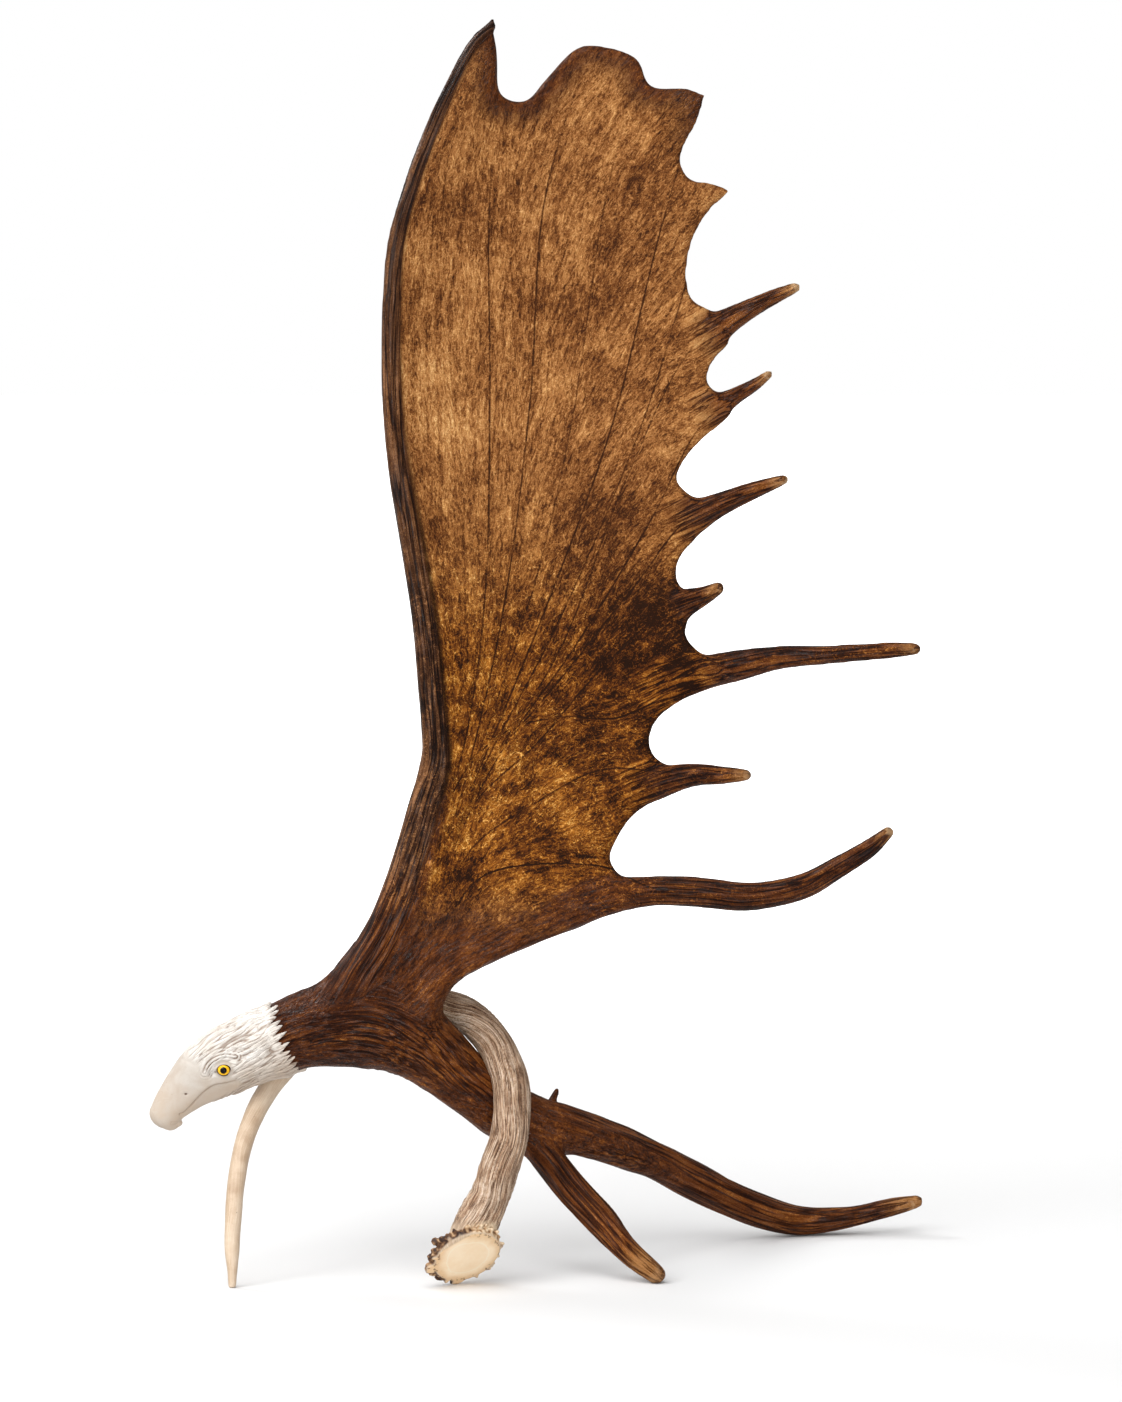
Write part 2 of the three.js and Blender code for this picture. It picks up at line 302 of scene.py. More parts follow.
class Signal:
    # a node's output, and each sum, product or range taken of it is one more node
    def __init__(self, tree, socket):
        self.tree = tree
        self.socket = socket

    def maths(self, operation, other=None):
        return addNode(self.tree, "ShaderNodeMath", self, other, operation=operation)

    def __add__(self, other):
        return self.maths("ADD", other)

    def __sub__(self, other):
        return self.maths("SUBTRACT", other)

    def __rsub__(self, other):
        return addNode(self.tree, "ShaderNodeMath", other, self, operation="SUBTRACT")

    def __mul__(self, other):
        return self.maths("MULTIPLY", other)

    def __truediv__(self, other):
        return self.maths("DIVIDE", other)

    def __abs__(self):
        return self.maths("ABSOLUTE")

    def vector(self, operation, other=None):
        output = "Value" if operation == "LENGTH" else "Vector"
        return addNode(self.tree, "ShaderNodeVectorMath", self, other, operation=operation, output=output)

    def parts(self):
        split = self.tree.nodes.new("ShaderNodeSeparateXYZ")
        feed(self.tree, split.inputs[0], self)
        return [Signal(self.tree, socket) for socket in split.outputs]

    def ranged(self, low, high, toLow=0.0, toHigh=1.0):
        values = (self, low, high, toLow, toHigh)
        return addNode(self.tree, "ShaderNodeMapRange", *values, interpolation_type="SMOOTHSTEP")

    def noise(self, scale, detail=2.0, roughness=0.5, distortion=0.0):
        settings = {"Scale": scale, "Detail": detail, "Roughness": roughness, "Distortion": distortion}
        return addNode(self.tree, "ShaderNodeTexNoise", Vector=self, **settings)

    def lines(self, width):
        return addNode(self.tree, "ShaderNodeGroup", node_tree=thinLines, Noise=self, Width=width)

    def ramp(self, stops):
        node = self.tree.nodes.new("ShaderNodeValToRGB")
        band = node.color_ramp
        while len(band.elements) < len(stops):
            band.elements.new(0.5)
        for element, (place, colour) in zip(band.elements, stops):
            element.position = place
            element.color = (*colour, 1)
        feed(self.tree, node.inputs["Fac"], self)
        return Signal(self.tree, node.outputs["Color"])

    def bump(self, strength, distance):
        return addNode(self.tree, "ShaderNodeBump", Strength=strength, Distance=distance, Height=self)


def mixValue(factor, first, second):
    return addNode(factor.tree, "ShaderNodeMix", factor, None, first, second, data_type="FLOAT")


def mixColour(factor, first, second):
    sockets = (factor, *[None] * 5, first, second)  # the colour sockets come after five of other kinds
    return addNode(factor.tree, "ShaderNodeMix", *sockets, data_type="RGBA", output=2)


def layered(colour, *layers):
    # colours laid over one another, each through its mask
    for mask, layer in layers:
        colour = mixColour(mask, colour, layer)
    return colour


def attributeOf(tree, name, output="Fac"):
    return addNode(tree, "ShaderNodeAttribute", attribute_name=name, output=output)


def objectPlace(tree):
    return addNode(tree, "ShaderNodeTexCoord", output="Object")


def newMaterial(name):
    material = bpy.data.materials.new(name)
    material.use_nodes = True
    return material, material.node_tree


def setSurface(tree, values):
    shader = tree.nodes["Principled BSDF"]
    for name, value in values.items():
        feed(tree, shader.inputs[name], value)


def newGroup(name, **inputs):
    # a node group with one value coming out; an input given None is a vector
    group = bpy.data.node_groups.new(name, "ShaderNodeTree")
    for socketName, start in inputs.items():
        kind = "NodeSocketVector" if start is None else "NodeSocketFloat"
        socket = group.interface.new_socket(name=socketName, in_out="INPUT", socket_type=kind)
        if start is not None:
            socket.default_value = start
    group.interface.new_socket(name="Value", in_out="OUTPUT", socket_type="NodeSocketFloat")
    given = group.nodes.new("NodeGroupInput").outputs
    made = group.nodes.new("NodeGroupOutput").inputs["Value"]
    return group, made, [Signal(group, given[socketName]) for socketName in inputs]


def buildThinLines():
    # thin lines where a noise passes its middle
    group, made, (value, width) = newGroup("thinLines", Noise=0.5, Width=0.05)
    feed(group, made, abs(value - 0.5).ranged(0.0, width, 1.0, 0.0))
    return group


def buildGrowthGrain():
    # streaks along the growth: noise drawn out along the two nearest of a fan of directions, and mixed
    group, made, (place, turn, scale, stretch, step, detail, distortion) = newGroup(
        "growthGrain", Place=None, Turn=0.0, Scale=400.0, Stretch=5.0, Step=0.3, Detail=1.0, Distortion=0.0
    )
    fan = turn / step
    low = fan.maths("FLOOR")
    share = fan - low
    rest = 1.0 - share
    sizes = addNode(group, "ShaderNodeCombineXYZ", scale / stretch, scale, scale)
    values = []
    for extra in (0.0, 1.0):
        number = low + extra
        turned = addNode(
            group, "ShaderNodeVectorRotate", rotation_type="Y_AXIS", Vector=place, Angle=number * step
        )
        # no two directions share a noise
        apart = addNode(group, "ShaderNodeCombineXYZ", None, number * 5.37)
        spot = turned.vector("MULTIPLY", sizes).vector("ADD", apart)
        values.append(spot.noise(1.0, detail, 0.5, distortion))
    spread = (share * share + rest * rest).maths("SQRT")
    feed(group, made, (mixValue(share, *values) - 0.5) / spread + 0.5)
    return group


thinLines = buildThinLines()
growthGrain = buildGrowthGrain()


# the moose antler's shape
antlerShape = {
    "voxel": 2.0,
    "palmHalfThickness": 6.5,
    "ridgeHalfThickness": 12,
    "ridgeSpan": (14, 40),
    "ridgeTaper": 0.6,
    "rootHalfThickness": 24,
    "rootSpan": (0.02, 0.3),
    "rimRadius": 7,
    "rimStart": 0.06,
    "bowlDepth": 18,
    "bowlMiddle": -20,
    "bowlReach": 115,
    "bowlHeights": (230, 420),
    "edgeForward": 6,
    "topCurl": 20,
    "curlStart": 560,
    "curlReach": 380,
    "bandWidths": [(240, 26), (330, 22), (420, 18), (600, 15), (760, 12), (880, 9), (940, 6)],  # by height
    "outlineLength": 900,
    "columns": 90,
    "rows": 360,
    "back": [
        (-186, 198), (-173, 220), (-163, 238), (-145, 268), (-132, 298), (-122, 328), (-113, 359),
        (-104, 389), (-104, 408), (-106, 434), (-111, 494), (-120, 554), (-129, 614), (-133, 673),
        (-132, 733), (-128, 777), (-115, 822), (-98, 866), (-84, 895), (-66, 926), (-50, 940),
    ],
    "top": [
        (-50, 940), (-47, 912), (-44, 884), (-26, 880), (-12, 895), (12, 919), (24, 921), (56, 911),
        (66, 891), (92, 889), (107, 884),
    ],
    "front": [
        (-112, 168), (-94, 192), (-82, 218), (-49, 237), (-10, 253), (28, 268), (59, 289), (43, 303),
        (37, 314), (43, 329), (53, 344), (72, 360), (89, 378), (71, 391), (67, 404), (73, 419),
        (91, 434), (124, 454), (100, 474), (94, 483), (96, 495), (104, 506), (92, 517), (87, 525),
        (89, 540), (101, 555), (115, 573), (92, 592), (87, 599), (93, 614), (106, 629), (128, 651),
        (114, 666), (109, 674), (114, 688), (126, 703), (112, 725), (99, 732), (94, 748), (98, 777),
        (110, 798), (125, 814), (98, 820), (89, 836), (102, 866), (107, 884),
    ],
    "root": [(-186, 198), (-150, 184), (-112, 168)],
}

# stations of x, y, z, half height, half depth
antlerLimbs = {
    "neck": [
        (-222, 0, 171, 27.5, 23), (-208, 0, 179, 28, 24), (-174, 0, 188.5, 33, 28),
        (-140, 1, 190, 37.5, 31), (-108, 4, 174, 30, 25), (-69, 12, 139, 23, 19),
        (-39, 20, 116, 23.5, 18), (-10, 27, 104, 20, 18), (6, 32, 96, 15, 13),
    ],
    "stem": [
        (-168, 0, 192, 30, 27), (-144, 0, 216, 31, 27), (-121, 0, 250, 28, 24), (-110, 1, 290, 22, 19),
        (-103, 2, 325, 17, 15), (-98, 3, 358, 14, 13), (-93, 3, 398, 10, 10),
    ],
    "browFront": [
        (-28, 21, 102, 14, 13), (-10, 12, 84, 13, 13), (8, -5, 64, 13.5, 13), (31, -22, 42, 13, 12.5),
        (51, -36, 21.5, 10.2, 10), (71, -43, 6.2, 7.5, 7.5),
    ],
    "browRear": [
        (-30, 20, 113, 16, 15), (-4, 28, 106, 18, 17), (30, 48, 91, 17, 16), (70, 75, 71, 15.5, 15),
        (108, 98, 47.5, 15.2, 15), (148, 116, 25.5, 14, 14), (187, 133, 11.8, 12.6, 12.6),
        (222, 137, 12.6, 10.4, 10.4), (259, 139, 20.5, 7.8, 7.8), (280, 140, 25.2, 5.2, 5.2),
    ],
    "spur": [
        (-10, 38, 119, 3, 3), (-6, 40, 124.5, 3.2, 3.2), (-3.5, 41, 130, 2.4, 2.4),
        (-3, 41, 133, 1.2, 1.2),
    ],
    "long": [
        (40, 7, 428, 9, 4), (84, 0, 447, 14, 8), (112, -5, 456, 13, 9.5), (134, -9, 461, 12, 10),
        (163, -15, 467, 9.2, 8.5), (200, -26, 470, 7.6, 7.2), (237, -35, 473.5, 6.6, 6.4),
        (262, -41, 475.5, 4.6, 4.6),
    ],
    "low": [
        (-112, 0, 208, 22, 20), (-84, 0, 237, 16, 16), (-48, 1, 252, 14.5, 13), (-12, 1, 268, 14, 11.5),
        (29, -1, 284, 15, 11), (67, -5, 290, 12, 11), (104, -11, 290, 12, 11.5), (141, -20, 288, 11.2, 11),
        (178, -30, 296, 10.2, 10), (207, -40, 313, 8.8, 8.6), (229, -48, 328, 7, 6.8),
        (242, -53, 340, 4.6, 4.6),
    ],
    "short1": [
        (80, -4, 690, 8, 4), (104, -10, 705, 13.5, 8), (133, -14, 722.5, 9, 8), (155, -19, 734, 6.2, 6),
        (173, -24, 742, 4, 4),
    ],
    "short2": [
        (84, -3, 634, 8, 4), (105, -9, 648, 12, 7), (129, -13, 661.5, 7, 7), (144, -17, 670.5, 4.8, 4.8),
        (154, -20, 678, 3.2, 3.2),
    ],
    "short3": [
        (62, 3, 554, 8, 4), (90, -4, 567, 14, 8), (118, -10, 581, 9.6, 8.6), (140, -15, 590.5, 7.2, 7),
        (165, -21, 600, 4, 4),
    ],
    "short4": [(66, 2, 494, 7, 4), (90, -4, 506, 11, 7), (107, -8, 513, 7.2, 6.8), (117, -11, 518.5, 5, 5)],
    "short5": [
        (30, 5, 352, 8, 4), (62, 0, 367, 13, 8), (97, -7, 378, 9.6, 8.6), (119, -12, 378.5, 7.2, 7),
        (138, -16, 379, 4.6, 4.6),
    ],
}
shortTines = ["short1", "short2", "short3", "short4", "short5"]
tineNames = ["browFront", "browRear", "spur", "long", "low", *shortTines]

# growth lines over the palm, as x, z, from the fork outwards; the first three are on the beams
growthLines = [
    [(-215, 197), (-174, 214), (-144, 252), (-121, 313), (-106, 366), (-103, 403)],
    [(-205, 176), (-167, 195), (-122, 237), (-91, 282), (-61, 313)],
    [(-205, 157), (-160, 168), (-114, 176), (-76, 153), (-31, 115)],
    [
        (-104, 400), (-111, 494), (-129, 614), (-133, 673), (-132, 733), (-128, 777), (-98, 866),
        (-50, 940),
    ],
    [
        (-125, 218), (-103, 298), (-91, 358), (-84, 403), (-84, 441), (-102, 539), (-119, 658),
        (-114, 807), (-74, 903), (-60, 929),
    ],
    [(-110, 298), (-82, 388), (-76, 471), (-87, 584), (-98, 733), (-79, 866), (-56, 925)],
    [(-103, 298), (-72, 403), (-57, 509), (-53, 658), (-53, 807), (-45, 881)],
    [(-99, 282), (-68, 388), (-42, 509), (-23, 658), (-12, 807), (22, 921)],
    [(-99, 282), (-65, 385), (-23, 509), (7, 636), (33, 807), (59, 910)],
    [(-99, 282), (-61, 381), (-12, 501), (37, 636), (74, 785), (103, 885)],
    [(-99, 282), (-61, 377), (-1, 494), (59, 636), (104, 777), (124, 814)],
    [(-99, 279), (-57, 377), (-1, 471), (48, 599), (96, 696), (130, 722)],
    [(-99, 279), (-53, 381), (14, 479), (67, 569), (104, 640), (130, 662)],
    [(-99, 279), (-61, 373), (-1, 449), (52, 516), (97, 573), (130, 587)],
    [(-99, 275), (-69, 351), (-16, 403), (29, 456), (74, 498), (110, 514)],
    [(-95, 271), (-84, 358), (-46, 407), (-1, 421), (44, 421), (104, 455)],
    [(-91, 263), (-69, 320), (-16, 358), (29, 381), (74, 381), (120, 378)],
    [(-88, 256), (-69, 294), (-46, 307), (29, 309), (67, 294), (100, 291)],
    [(-107, 206), (-88, 222), (-10, 256), (60, 279)],
]
# how strongly each growth line from the fourth on shows as a vein
veinStrength = [0, 0, 0, 0.45, 0.55, 0.3, 0.6, 0.45, 0.5, 0.65, 0.7, 0.6, 1.0, 0.55, 1.0, 0]


def palmDepth(x, z):
    # the palm is a shallow bowl with its edges forward, and its top curls forward too
    shape = antlerShape
    hollow = 1 - ((x - shape["bowlMiddle"]) / shape["bowlReach"]) ** 2
    bowl = smoothStep(*shape["bowlHeights"], z) * (shape["bowlDepth"] * hollow - shape["edgeForward"])
    return bowl - shape["topCurl"] * np.maximum(0, (z - shape["curlStart"]) / shape["curlReach"]) ** 2


def addPalmWeb():
    # a grid given two faces, warped over the palm's four-sided outline
    shape = antlerShape
    clearSelection()
    bpy.ops.mesh.primitive_grid_add(x_subdivisions=shape["columns"], y_subdivisions=shape["rows"], size=1)
    web = bpy.context.object
    applyModifier(web, "SOLIDIFY", thickness=1.0, offset=0.0)
    grid = readPoints(web)
    column = grid[:, 0] + 0.5
    u = (0.5 - 0.5 * np.cos(math.pi * column))[:, None]
    v = (grid[:, 1] + 0.5)[:, None]
    back, front = evenAt(shape["back"], v[:, 0]), evenAt(shape["front"], v[:, 0])
    root, top = evenAt(shape["root"], u[:, 0]), curveAt(shape["top"], column)
    a, b, c, d = (np.array(shape[line][end], float) for line in ("root", "top") for end in (0, -1))
    flat = a * (1 - u) * (1 - v) + b * u * (1 - v) + c * (1 - u) * v + d * u * v
    place = back * (1 - u) + front * u + root * (1 - v) + top * v - flat
    width = np.linalg.norm(back - front, axis=1)
    u, v = u[:, 0], v[:, 0]
    toRim = np.minimum(np.minimum(u * width, (1 - u) * width), (1 - v) * shape["outlineLength"])
    thin = shape["palmHalfThickness"]
    ridge = (shape["ridgeHalfThickness"] - thin) * fadeOut(*shape["ridgeSpan"], u * width)
    rootPart = (shape["rootHalfThickness"] - thin) * fadeOut(*shape["rootSpan"], v)
    rounding = np.sqrt(1 - (1 - np.minimum(1, shape["rimStart"] + toRim / shape["rimRadius"])) ** 2)
    half = (thin + ridge * (1 - shape["ridgeTaper"] * v) + rootPart) * rounding
    depth = palmDepth(place[:, 0], place[:, 1]) + np.sign(grid[:, 2]) * half
    writePoints(web, np.column_stack([place[:, 0], depth, place[:, 1]]))
    return web


def growthField(points):
    # unit direction of growth at each point, from the growth lines and the limbs' centrelines
    lines = []
    for line in growthLines:
        flat = evenPoints(line, 8)
        lines.append(np.column_stack([flat[:, 0], palmDepth(flat[:, 0], flat[:, 1]), flat[:, 1]]))
    for name, stations in antlerLimbs.items():
        if name != "stem":
            lines.append(evenPoints(np.asarray(stations, float)[:, :3], 5))
    starts = np.vstack(lines)
    ways = np.vstack([unit(np.gradient(line, axis=0)) for line in lines])
    flow = np.empty_like(points)
    for first in range(0, len(points), 8000):  # in blocks, to keep the memory small
        block = points[first:first + 8000]
        away = ((block[:, None, :] - starts[None]) ** 2).sum(2)
        flow[first:first + 8000] = (1 / (away + 36) ** 2) @ ways
    return unit(flow)


def limbNearness(points, name):
    # distance from a limb's centreline, less its radius, the share of its length, and distance to its end
    stations = np.asarray(antlerLimbs[name], float)
    share = np.linspace(0, 1, 80)
    line = curveAt(stations[:, :3], share)
    radius = smoothSizes(stations[:, 3], share)[:, 0]
    index, away = nearestOn(line, points)
    return away - radius[index], share[index], np.linalg.norm(line[-1] - points, axis=1)


def veinField(plane):
    # place between the palm's growth lines counted from its long edge, their spacing, the nearest's strength
    lines = [evenPoints(line, 4) for line in growthLines[3:]]
    count = len(plane)
    best = np.full(count, 1e9)
    nearest, side, share = np.zeros(count, int), np.zeros(count), np.zeros(count)
    gaps = []
    for i, line in enumerate(lines):
        index, away, right = besideLine(line, plane)
        gaps.append(away)
        closer = away < best
        best[closer], nearest[closer], side[closer] = away[closer], i, right[closer]
        share[closer] = (index / (len(line) - 1))[closer]
    other = np.clip(nearest + side.astype(int), 0, len(lines) - 1)
    spacing = np.maximum(best + np.array(gaps)[other, np.arange(count)], 4)
    strong = np.array(veinStrength)[nearest] * smoothStep(0.02, 0.2, share) * fadeOut(0.82, 0.97, share)
    return nearest + side * best / spacing, spacing * mm, strong


print("moose antler: shapes joined")
antlerPieces = [addPalmWeb()] + [addLimb(stations) for stations in antlerLimbs.values()]
mooseAntler = joinAndRemesh(antlerPieces, "mooseAntler", antlerShape["voxel"])
points = readPoints(mooseAntler)
print("moose antler points", len(points))

# crease at the fork and at the tines' roots filled out, tines kept
toTip = np.minimum.reduce([limbNearness(points, name)[2] for name in tineNames])
soften = smoothStep(10, 45, toTip)
relax(mooseAntler, 0.5 * (0.12 + 0.88 * soften), 14)
relax(mooseAntler, 0.5 * soften * fadeOut(215, 330, points[:, 2]), 24)
print("moose antler: creases filled")

points = readPoints(mooseAntler)
normals = readNormals(mooseAntler)
flow = growthField(points)
x, y, z = points.T
plane = points[:, [0, 2]]
outlineRest = np.vstack([evenPoints(antlerShape[line], 3) for line in ("front", "top")])
backIndex, fromBack, _ = besideLine(evenPoints(antlerShape["back"], 3), plane)
_, fromRest = nearestOn(outlineRest, plane)
print("moose antler: growth field")

# long-edge band: proud, ridged, with a groove along its inner side that is also painted near-black as
# painted shade
bandWidth = np.interp(z, *np.array(antlerShape["bandWidths"]).T)
inBand = smoothStep(255, 325, z) * fadeOut(bandWidth - 1.5, bandWidth + 2.5, fromBack)
bandEdge = bell(fromBack - bandWidth - 1.5, 1.7) * smoothStep(310, 370, z)
bandEdge *= 1 - 0.75 * smoothStep(520, 680, z)

# place across and along each limb as if it were straight, and how far the limb's own grain holds there
limbGrain = np.zeros_like(points)
limbShare = np.zeros(len(points))
limbBest = np.full(len(points), 1e3)
nextBest = np.full(len(points), 1e3)
for i, name in enumerate(["neck", "browFront", "browRear", "long", "low", *shortTines]):
    away, grain = limbFrame(points, antlerLimbs[name])
    nearer = away < limbBest
    nextBest = np.where(nearer, limbBest, np.minimum(nextBest, away))
    limbBest[nearer] = away[nearer]
    limbGrain[nearer] = grain[nearer] + [0, 0, 37.0 * i]
    holds = smoothStep(12, 34, grain[:, 2])
    if name == "neck":
        holds = fadeOut(188, 226, z - 0.35 * (x + 150))
    elif name == "low":
        holds = smoothStep(45, 80, x)
    limbShare[nearer] = (holds * fadeOut(4, 11, away))[nearer]
limbShare *= smoothStep(0, 7, nextBest - limbBest)
limbGrain[:, :2] += 40.0
edgeShare = smoothStep(196, 240, z) * fadeOut(bandWidth - 2, bandWidth + 5, fromBack)
bandGrain = np.column_stack([fromBack + 200, 0.35 * y, 3.0 * backIndex])
limbGrain = np.where((edgeShare > limbShare)[:, None], bandGrain, limbGrain)
limbShare = np.abs(edgeShare - limbShare)

# slow swellings, and long ridges on the neck, the beams and the band, in millimetres
antlerRelief = {"band": 0.8, "bandLine": -1.1, "swelling": 0.5, "palmRidges": 0.7, "limbRidges": 1.0}
onBeam = fadeOut(235, 330, z)
headShare = 0.3 + 0.7 * smoothStep(-214, -188, x)  # calmer by the head
ridgeUnits = (6.5, 6.5, 70.0)  # across, in depth and along a limb
drawnOut = 0.86  # how far the palm's ridges are drawn out along the growth
swell = softNoise(points, 26.0, 3.0)
limbRidges = np.abs(softNoise(limbGrain / ridgeUnits, 1.0, 5.0)) * 2.6 - 0.6
palmRidges = softNoise(points - flow * (points * flow).sum(1, keepdims=True) * drawnOut, 7.5, 11.0)
beamShare = limbShare * np.maximum(onBeam, 0.8 * inBand) * smoothStep(1.0, 4.0, fromBack + 10 * (z < 250))
relief = {
    "band": inBand,
    "bandLine": bandEdge,
    "swelling": swell * (0.4 + 0.6 * onBeam) * (0.25 + 0.75 * soften) * headShare,
    "palmRidges": palmRidges * onBeam * (1 - limbShare) * (0.3 + 0.7 * soften),
    "limbRidges": limbRidges * beamShare * (0.35 + 0.65 * soften) * headShare,
}
lift = sum(antlerRelief[name] * relief[name] for name in antlerRelief)
points += normals * lift[:, None]
points[:, 2] = np.maximum(points[:, 2], 0)
writePoints(mooseAntler, points)

# dark on the tines, light at their worn tips; the brow tines are dark all along and worn further up
wornLength = {"browFront": 44, "browRear": 44}
allDark = ("browFront", "browRear", "low")
tineDark, tipLight = np.zeros(len(points)), np.zeros(len(points))
for name in tineNames:
    gapTo, share, toEnd = limbNearness(points, name)
    near = fadeOut(1, 9, gapTo)
    tineDark = np.maximum(tineDark, near * (1.0 if name in allDark else smoothStep(0.08, 0.4, share)))
    tipLight = np.maximum(tipLight, near * fadeOut(3, wornLength.get(name, 18), toEnd))
tipLight *= limbNearness(points, "spur")[0] > 4
onRim = fadeOut(1, 6, np.minimum(fromRest, fromBack))
rootDark = fadeOut(225, 335, z + 0.10 * (x + 60))
topDark = bell(fromRest, 24) * smoothStep(810, 880, z)
besideBand = fadeOut(bandWidth, bandWidth + 16, fromBack) * fadeOut(330, 420, z)
stains = [rootDark, 0.8 * tineDark, 0.45 * onRim, 0.8 * topDark, inBand, besideBand]
gold = smoothStep(235, 300, z) * fadeOut(450, 640, z)
storeAttribute(mooseAntler, "zones", np.clip(np.maximum.reduce(stains), 0, 1), gold, inBand)
storeAttribute(mooseAntler, "tipShare", tipLight)
# painted shade: the groove on the band's inner side, painted near-black in the stain
storeAttribute(mooseAntler, "grooveShadeLine", bandEdge)
# turn: angle of growth in the palm's plane; grain: place across and along each limb
turn = np.arctan2(flow[:, 2], flow[:, 0]) - 0.34 * smoothStep(-70, 60, x) * smoothStep(480, 640, z)
storeAttribute(mooseAntler, "turn", turn)
storeAttribute(mooseAntler, "grain", limbGrain * mm)
storeAttribute(mooseAntler, "veins", *veinField(plane))
storeAttribute(mooseAntler, "limbShare", limbShare)
storeAttribute(mooseAntler, "neckShare", fadeOut(-150, -85, x) * fadeOut(190, 300, z))
shadeLow = smoothStep(-40, 45, x) * smoothStep(240, 300, z) * fadeOut(600, 760, z)
shadeHigh = 0.8 * smoothStep(760, 860, z) * fadeOut(-60, 20, x)
storeAttribute(mooseAntler, "shadeShare", np.maximum(shadeLow, shadeHigh))
storeAttribute(mooseAntler, "wholeNormal", readNormals(mooseAntler))
print("moose antler: zones painted")

# the piece that is cut, the branch and the rest that it leaves, and the plane of the cut with its reach
cutReach = 6  # faces this close to the plane are cut
forks = [
    ("whole", "upper", "lower", (-124, 0, 226), (0.4, 0, 0.917), 75),
    ("lower", "brows", "neck_beam", (-108, 0, 176), (0.78, 0, -0.62), 70),
    ("brows", "brow_tine_front", "browRest", (6, 3, 72), (0.5, -0.5, -0.7), 40),
    ("browRest", "brow_tine_rear", "brow_beam", (18, 40, 96), (0.8, 0.5, -0.33), 50),
    ("upper", "palm_tine_long", "palmRest", (108, -5, 454), (0.97, -0.15, 0.2), 45),
    ("palmRest", "palm_tine_low", "palm", (56, -5, 288), (0.99, -0.1, 0.08), 45),
]


def selectNear(piece, point, way, reach):
    # faces close to a fork's plane, within reach of its point
    offset = readVectors(piece.data.polygons, "center") - point
    near = (np.abs(offset @ way) < cutReach) & (np.linalg.norm(offset, axis=1) < reach)
    bpy.context.tool_settings.mesh_select_mode = (False, False, True)
    for items, chosen in (
        (piece.data.vertices, np.zeros(len(piece.data.vertices), bool)),
        (piece.data.edges, np.zeros(len(piece.data.edges), bool)), (piece.data.polygons, near),
    ):
        items.foreach_set("select", chosen)


def closeHoles(piece):
    pickOnly(piece)
    bpy.ops.object.mode_set(mode="EDIT")
    bpy.context.tool_settings.mesh_select_mode = (False, True, False)
    bpy.ops.mesh.select_all(action="DESELECT")
    bpy.ops.mesh.select_non_manifold(
        extend=False, use_wire=False, use_boundary=True, use_multi_face=False, use_non_contiguous=False
    )
    bpy.ops.mesh.edge_face_add()
    bpy.ops.object.mode_set(mode="OBJECT")


def splitAtFork(piece, point, way, reach):
    # cuts a piece at a fork and returns the branch and the rest
    point = np.array(point, float)
    way = unit(np.array(way, float))
    pickOnly(piece)
    selectNear(piece, point, way, reach)
    bpy.ops.object.mode_set(mode="EDIT")
    bpy.ops.mesh.bisect(plane_co=tuple(point), plane_no=tuple(way), use_fill=False)
    bpy.ops.mesh.edge_split(type="EDGE")
    bpy.ops.mesh.separate(type="LOOSE")
    bpy.ops.object.mode_set(mode="OBJECT")
    found = sorted(bpy.context.selected_objects, key=lambda part: -len(part.data.vertices))
    found, scraps = found[:2], found[2:]
    for scrap in scraps:
        bpy.data.objects.remove(scrap)
    heights = [((readPoints(part) - point) @ way).mean() for part in found]
    branch, rest = found if heights[0] > heights[1] else found[::-1]
    for part in (branch, rest):
        closeHoles(part)
    counts = [len(part.data.vertices) for part in (branch, rest)]
    print("  fork at", point, "branch", counts[0], "rest", counts[1], "scraps", len(scraps))
    return branch, rest


def cutOff(piece, point, way):
    # removes all beyond a plane and closes the end
    pickOnly(piece)
    bpy.ops.object.mode_set(mode="EDIT")
    bpy.ops.mesh.select_all(action="SELECT")
    bpy.ops.mesh.bisect(plane_co=point, plane_no=way, clear_outer=True, use_fill=True)
    bpy.ops.object.mode_set(mode="OBJECT")


def carryShading(piece):
    # shading as on the unsplit antler, so that no seam shows at a fork
    mesh = piece.data
    corner = np.empty(len(mesh.loops), np.int32)
    mesh.loops.foreach_get("vertex_index", corner)
    cornerNormal = unit(readVectors(mesh.attributes["wholeNormal"].data, "vector")[corner])
    for face in mesh.polygons:
        if face.loop_total > 8:  # only the flat faces that close the cuts
            cornerNormal[face.loop_start:face.loop_start + face.loop_total] = face.normal
    shadeSmooth(piece)
    mesh.attributes.remove(mesh.attributes["wholeNormal"])
    mesh.normals_split_custom_set(cornerNormal)


cutOff(mooseAntler, (-211.0, 0.0, 177.0), (-0.92, 0.0, -0.39))  # head end of the neck
antlerParts = {"whole": mooseAntler}
for source, branch, rest, point, way, reach in forks:
    antlerParts[branch], antlerParts[rest] = splitAtFork(antlerParts.pop(source), point, way, reach)
print("moose antler: split at its forks")


